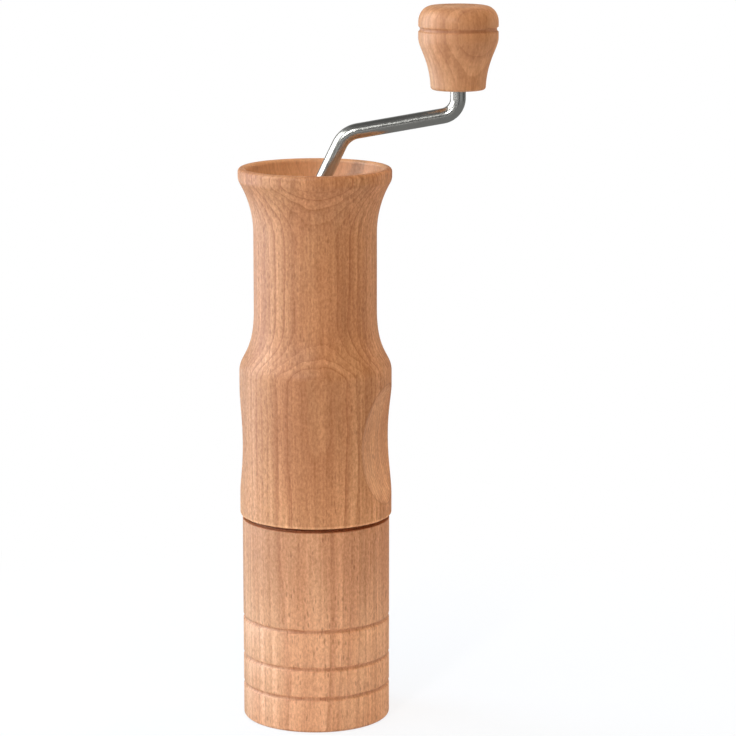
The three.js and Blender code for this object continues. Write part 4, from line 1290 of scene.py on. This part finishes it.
# Small parts of which the mill has several
def bush(node):
    """A sleeve with a flange on top."""
    low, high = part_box(node)
    step = high.z - BUSH_FLANGE
    outline = Outline(BUSH_BORE + FINE_EDGE, low.z).across(BUSH_RADIUS - FINE_EDGE)
    outline.to(BUSH_RADIUS, low.z + FINE_EDGE).along(step)
    outline.side(half_width(node), step, high.z, FINE_EDGE).side(BUSH_BORE, high.z, low.z, -FINE_EDGE)
    return moved(revolve(node + "_turned", outline, METAL_SIDES), (low.x + high.x) / 2, 0)


def washer(node):
    low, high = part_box(node)
    ring = tube(node + "_pressed", ROD_RADIUS + SEAT_GAP, half_width(node), low.z, high.z)
    return moved(ring, (low.x + high.x) / 2, 0)


def retaining_clip(node, middle):
    """A ring with an open side towards +X."""
    low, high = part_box(node)
    inner, outer = ROD_RADIUS - CLIP_GROOVE_DEPTH + SEAT_GAP, middle - low.x
    corners = ((inner, low.z), (inner, high.z), (outer, high.z), (outer, low.z))
    sections = []
    for step in range(CLIP_STEPS + 1):
        angle = CLIP_OPENING / 2 + (FULL_TURN - CLIP_OPENING) * step / CLIP_STEPS
        sections.append([(middle + radius * math.cos(angle), radius * math.sin(angle), height)
                         for radius, height in corners])
    return eased(lofted(node + "_stamped", sections), FINE_EDGE)


def screw(node):
    """A round-headed screw with its head down: a cross recess, and a thread on its shank."""
    low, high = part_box(node)
    rounding = SCREW_HEAD_HEIGHT / 2
    neck = low.z + SCREW_HEAD_HEIGHT
    outline = Outline(0, low.z)
    outline.arc(half_width(node) - rounding, low.z + rounding, rounding, -QUARTER_TURN).along(neck)
    outline.across(SCREW_RADIUS).along(high.z - SCREW_RADIUS, THREAD_STEP).to(0, high.z)

    def threaded(radius, height, angle):
        if height <= neck or abs(radius - SCREW_RADIUS) > TINY:
            return radius
        return radius - THREAD_DEPTH * thread_share(angle, height)
    body = revolve(node + "_rolled", outline, SCREW_SIDES, threaded)
    cross = [block(RECESS_REACH, RECESS_WIDTH, low.z - OVERRUN, low.z + RECESS_DEPTH, 0, turn)
             for turn in (0, QUARTER_TURN)]
    return moved(cut(body, *cross), (low.x + high.x) / 2, (low.y + high.y) / 2)


# Stage, light and camera
def seen(graph, level):
    """1 for what the camera and reflections show, and the level for all other light."""
    rays = graph.add("LightPath").outputs
    for ray in SEEN_RAYS:
        level = graph.math("MAXIMUM", rays[ray], level)
    return level


def floor():
    """A white floor that keeps the shadow near the mill and is plain white further off."""
    corners = [(FLOOR_RADIUS * math.cos(angle), FLOOR_RADIUS * math.sin(angle), 0)
               for angle in around(FLOOR_SIDES)]
    piece = new_object("floor", corners, [tuple(range(FLOOR_SIDES))])
    piece.location.z = -FLOOR_GAP
    graph = Material("floor_white")
    off = graph.add("VectorMath", {0: graph.place()}, operation="LENGTH").outputs["Value"]
    share = graph.fit(off, SHADOW_SPAN, (SHADOW_WHITE, 1.0))
    glow = graph.add("Emission", {"Color": tinted(WHITE), "Strength": 1.0})
    graph.show(graph.add("MixShader", {0: graph.times(seen(graph, 0.0), share),
                                       1: graph.shader.outputs[0], 2: glow.outputs[0]}))
    graph.set("Base Color", tinted(FLOOR_TONE))
    graph.set("Roughness", FLOOR_ROUGHNESS)
    piece.data.materials.append(graph.material)


def surroundings():
    """White for the camera and in reflections; a lower even level lights the mill."""
    world = bpy.data.worlds.new("studio")
    bpy.context.scene.world = world
    world.use_nodes = True
    graph = Graph(world.node_tree)
    background = world.node_tree.nodes["Background"]
    graph.put(background.inputs["Color"], tinted(WHITE))
    graph.put(background.inputs["Strength"], seen(graph, WORLD_LEVEL))


def upright_card(name, start, end, low, high, level):
    """A grey card that only reflections show: part of an upright cylinder about the mill, from one
    direction to another and between two elevations, seen from the middle of the barrel."""
    corners = []
    for elevation in (low, high):
        height = barrel_high.z / 2 + CARD_DISTANCE * math.tan(math.radians(elevation))
        for index in range(CARD_STEPS + 1):
            direction = math.radians(start + (end - start) * index / CARD_STEPS)
            corners.append((CARD_DISTANCE * math.sin(direction), -CARD_DISTANCE * math.cos(direction),
                            height))
    faces = [(index, index + 1, CARD_STEPS + 2 + index, CARD_STEPS + 1 + index)
             for index in range(CARD_STEPS)]
    reflection_only(new_object(name, corners, faces), level)


def flat_card(name, height, west, east, south, north, level):
    """A grey level card that only reflections show."""
    corners = [(west, south, height), (east, south, height), (east, north, height), (west, north, height)]
    reflection_only(new_object(name, corners, [(0, 1, 2, 3)]), level)


def reflection_only(card, level):
    """The card glows at its level, unevenly like cloth, and lights nothing but reflections."""
    card.visible_camera = False
    card.visible_diffuse = False
    card.visible_shadow = False
    card.visible_transmission = False
    graph = Material(card.name + "_cloth")
    weave = graph.noise(graph.place(), CARD_WEAVE)
    glow = graph.add("Emission", {"Strength": level})
    graph.put(glow.inputs["Color"], graph.mix(weave, tinted(CARD_TONE), tinted(WHITE)))
    graph.show(glow)
    card.data.materials.append(graph.material)


def panel(name, direction, elevation, distance, width, height, power, tint):
    """A soft light panel aimed at the mill's middle; direction is the angle from the camera's side
    of the mill, positive to the right."""
    data = bpy.data.lights.new(name, "AREA")
    data.shape = "RECTANGLE"
    data.size = width
    data.size_y = height
    data.energy = power
    data.color = tint
    lamp = bpy.data.objects.new(name, data)
    bpy.context.scene.collection.objects.link(lamp)
    turn, lift = math.radians(direction), math.radians(elevation)
    away = Vector((math.sin(turn) * math.cos(lift), -math.cos(turn) * math.cos(lift), math.sin(lift)))
    lamp.location = Vector((0, 0, barrel_high.z / 2)) + distance * away
    lamp.rotation_euler = (-away).to_track_quat("-Z", "Y").to_euler()
    return lamp


def camera():
    data = bpy.data.cameras.new("camera")
    data.sensor_fit = "HORIZONTAL"
    data.sensor_width = SENSOR_WIDTH
    data.lens = FOCAL_LENGTH_PX * SENSOR_WIDTH / PHOTO_WIDTH_PX
    data.clip_start = CLIP_START
    data.clip_end = CLIP_END
    piece = bpy.data.objects.new("camera", data)
    bpy.context.scene.collection.objects.link(piece)
    piece.location = CAMERA_PLACE
    piece.rotation_euler = (QUARTER_TURN - CAMERA_PITCH, 0, 0)
    bpy.context.scene.camera = piece


# Assembly
def wear(piece, slot):
    piece.data.materials.clear()
    piece.data.materials.append(by_slot[slot])


def stand_for(piece, node):
    """The piece takes a node's place, body and material slot."""
    body = frame["nodes"][node]["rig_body"]
    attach(piece, body)
    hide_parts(node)
    wear(piece, slots[node])


slots = {part["node"]: part["material_slot"] for part in frame["record"]["subparts"]}
# The jar's darker levels: burn lines in its grooves, painted shade at its foot and in its joint
jar_burn_and_shade_levels = tuple(share * jar_high.z / MM for share in JAR_GROOVE_SHARES) + (0.0, jar_high.z / MM)
knob_level = KNOB_GROOVE_SHARE * (plug_high.z - knob_low.z) / MM
# Height of the painted highlight on the barrel's lower edge
highlight_edge_level = (barrel_low.z + JOINT_RISE + BARREL_EDGE_ROUND / 2) / MM
# Painted bounce light from the floor on the barrel's lower part
barrel_floor_bounce = ((barrel_low.z / MM, barrel_low.z / MM + BARREL_BOUNCE_REACH), BARREL_BOUNCE_LIGHT)
by_slot = {
    "barrel_wood": beech("barrel_beech", BARREL_TONE, BARREL_LOG, painted_light_edge=highlight_edge_level, foot=barrel_floor_bounce),
    "jar_wood": beech("jar_beech", JAR_TONE, JAR_LOG, jar_burn_and_shade_levels, jar_high.x / MM, foot=JAR_FLOOR_BOUNCE),
    "knob_wood": beech("knob_beech", KNOB_TONE, KNOB_LOG, (knob_level,), KNOB_RADIUS / MM),
    **{slot: metal(*finish) for slot, finish in METALS.items()},
    **{slot: moulded(*finish) for slot, finish in MOULDINGS.items()},
}
for node, slot in slots.items():
    wear(frame["nodes"][node], slot)

camera()
for shape in (grounds_jar, mill_barrel, knob, knob_plug, crank_rod, burr_carrier, ring_burr, cone_burr,
              burr_core, burr_retainer, adjuster, adjuster_insert, burr_spring, drive_shaft,
              drive_socket, socket_pin, upper_stay, seal_ring):
    stand_for(shape(), shape.__name__)
for node in ("lower_bush", "upper_bush", "knob_bush"):
    stand_for(bush(node), node)
for node in ("thrust_washer", "spring_seat", "knob_collar"):
    stand_for(washer(node), node)
for node, middle in (("shaft_clip", 0.0), ("end_clip", 0.0), ("knob_clip", CRANK_REACH)):
    stand_for(retaining_clip(node, middle), node)
for number in range(1, ARM_COUNT + 1):
    for node in (f"carrier_screw_{number}", f"retainer_screw_{number}"):
        stand_for(screw(node), node)
floor()
surroundings()
panel(*KEY_LIGHT)
for light in SOFT_LIGHTS:
    panel(*light).visible_glossy = False
for card in CARDS:
    upright_card(*card)
for card in FLAT_CARDS:
    flat_card(*card)

bpy.context.scene.view_settings.view_transform = "Standard"
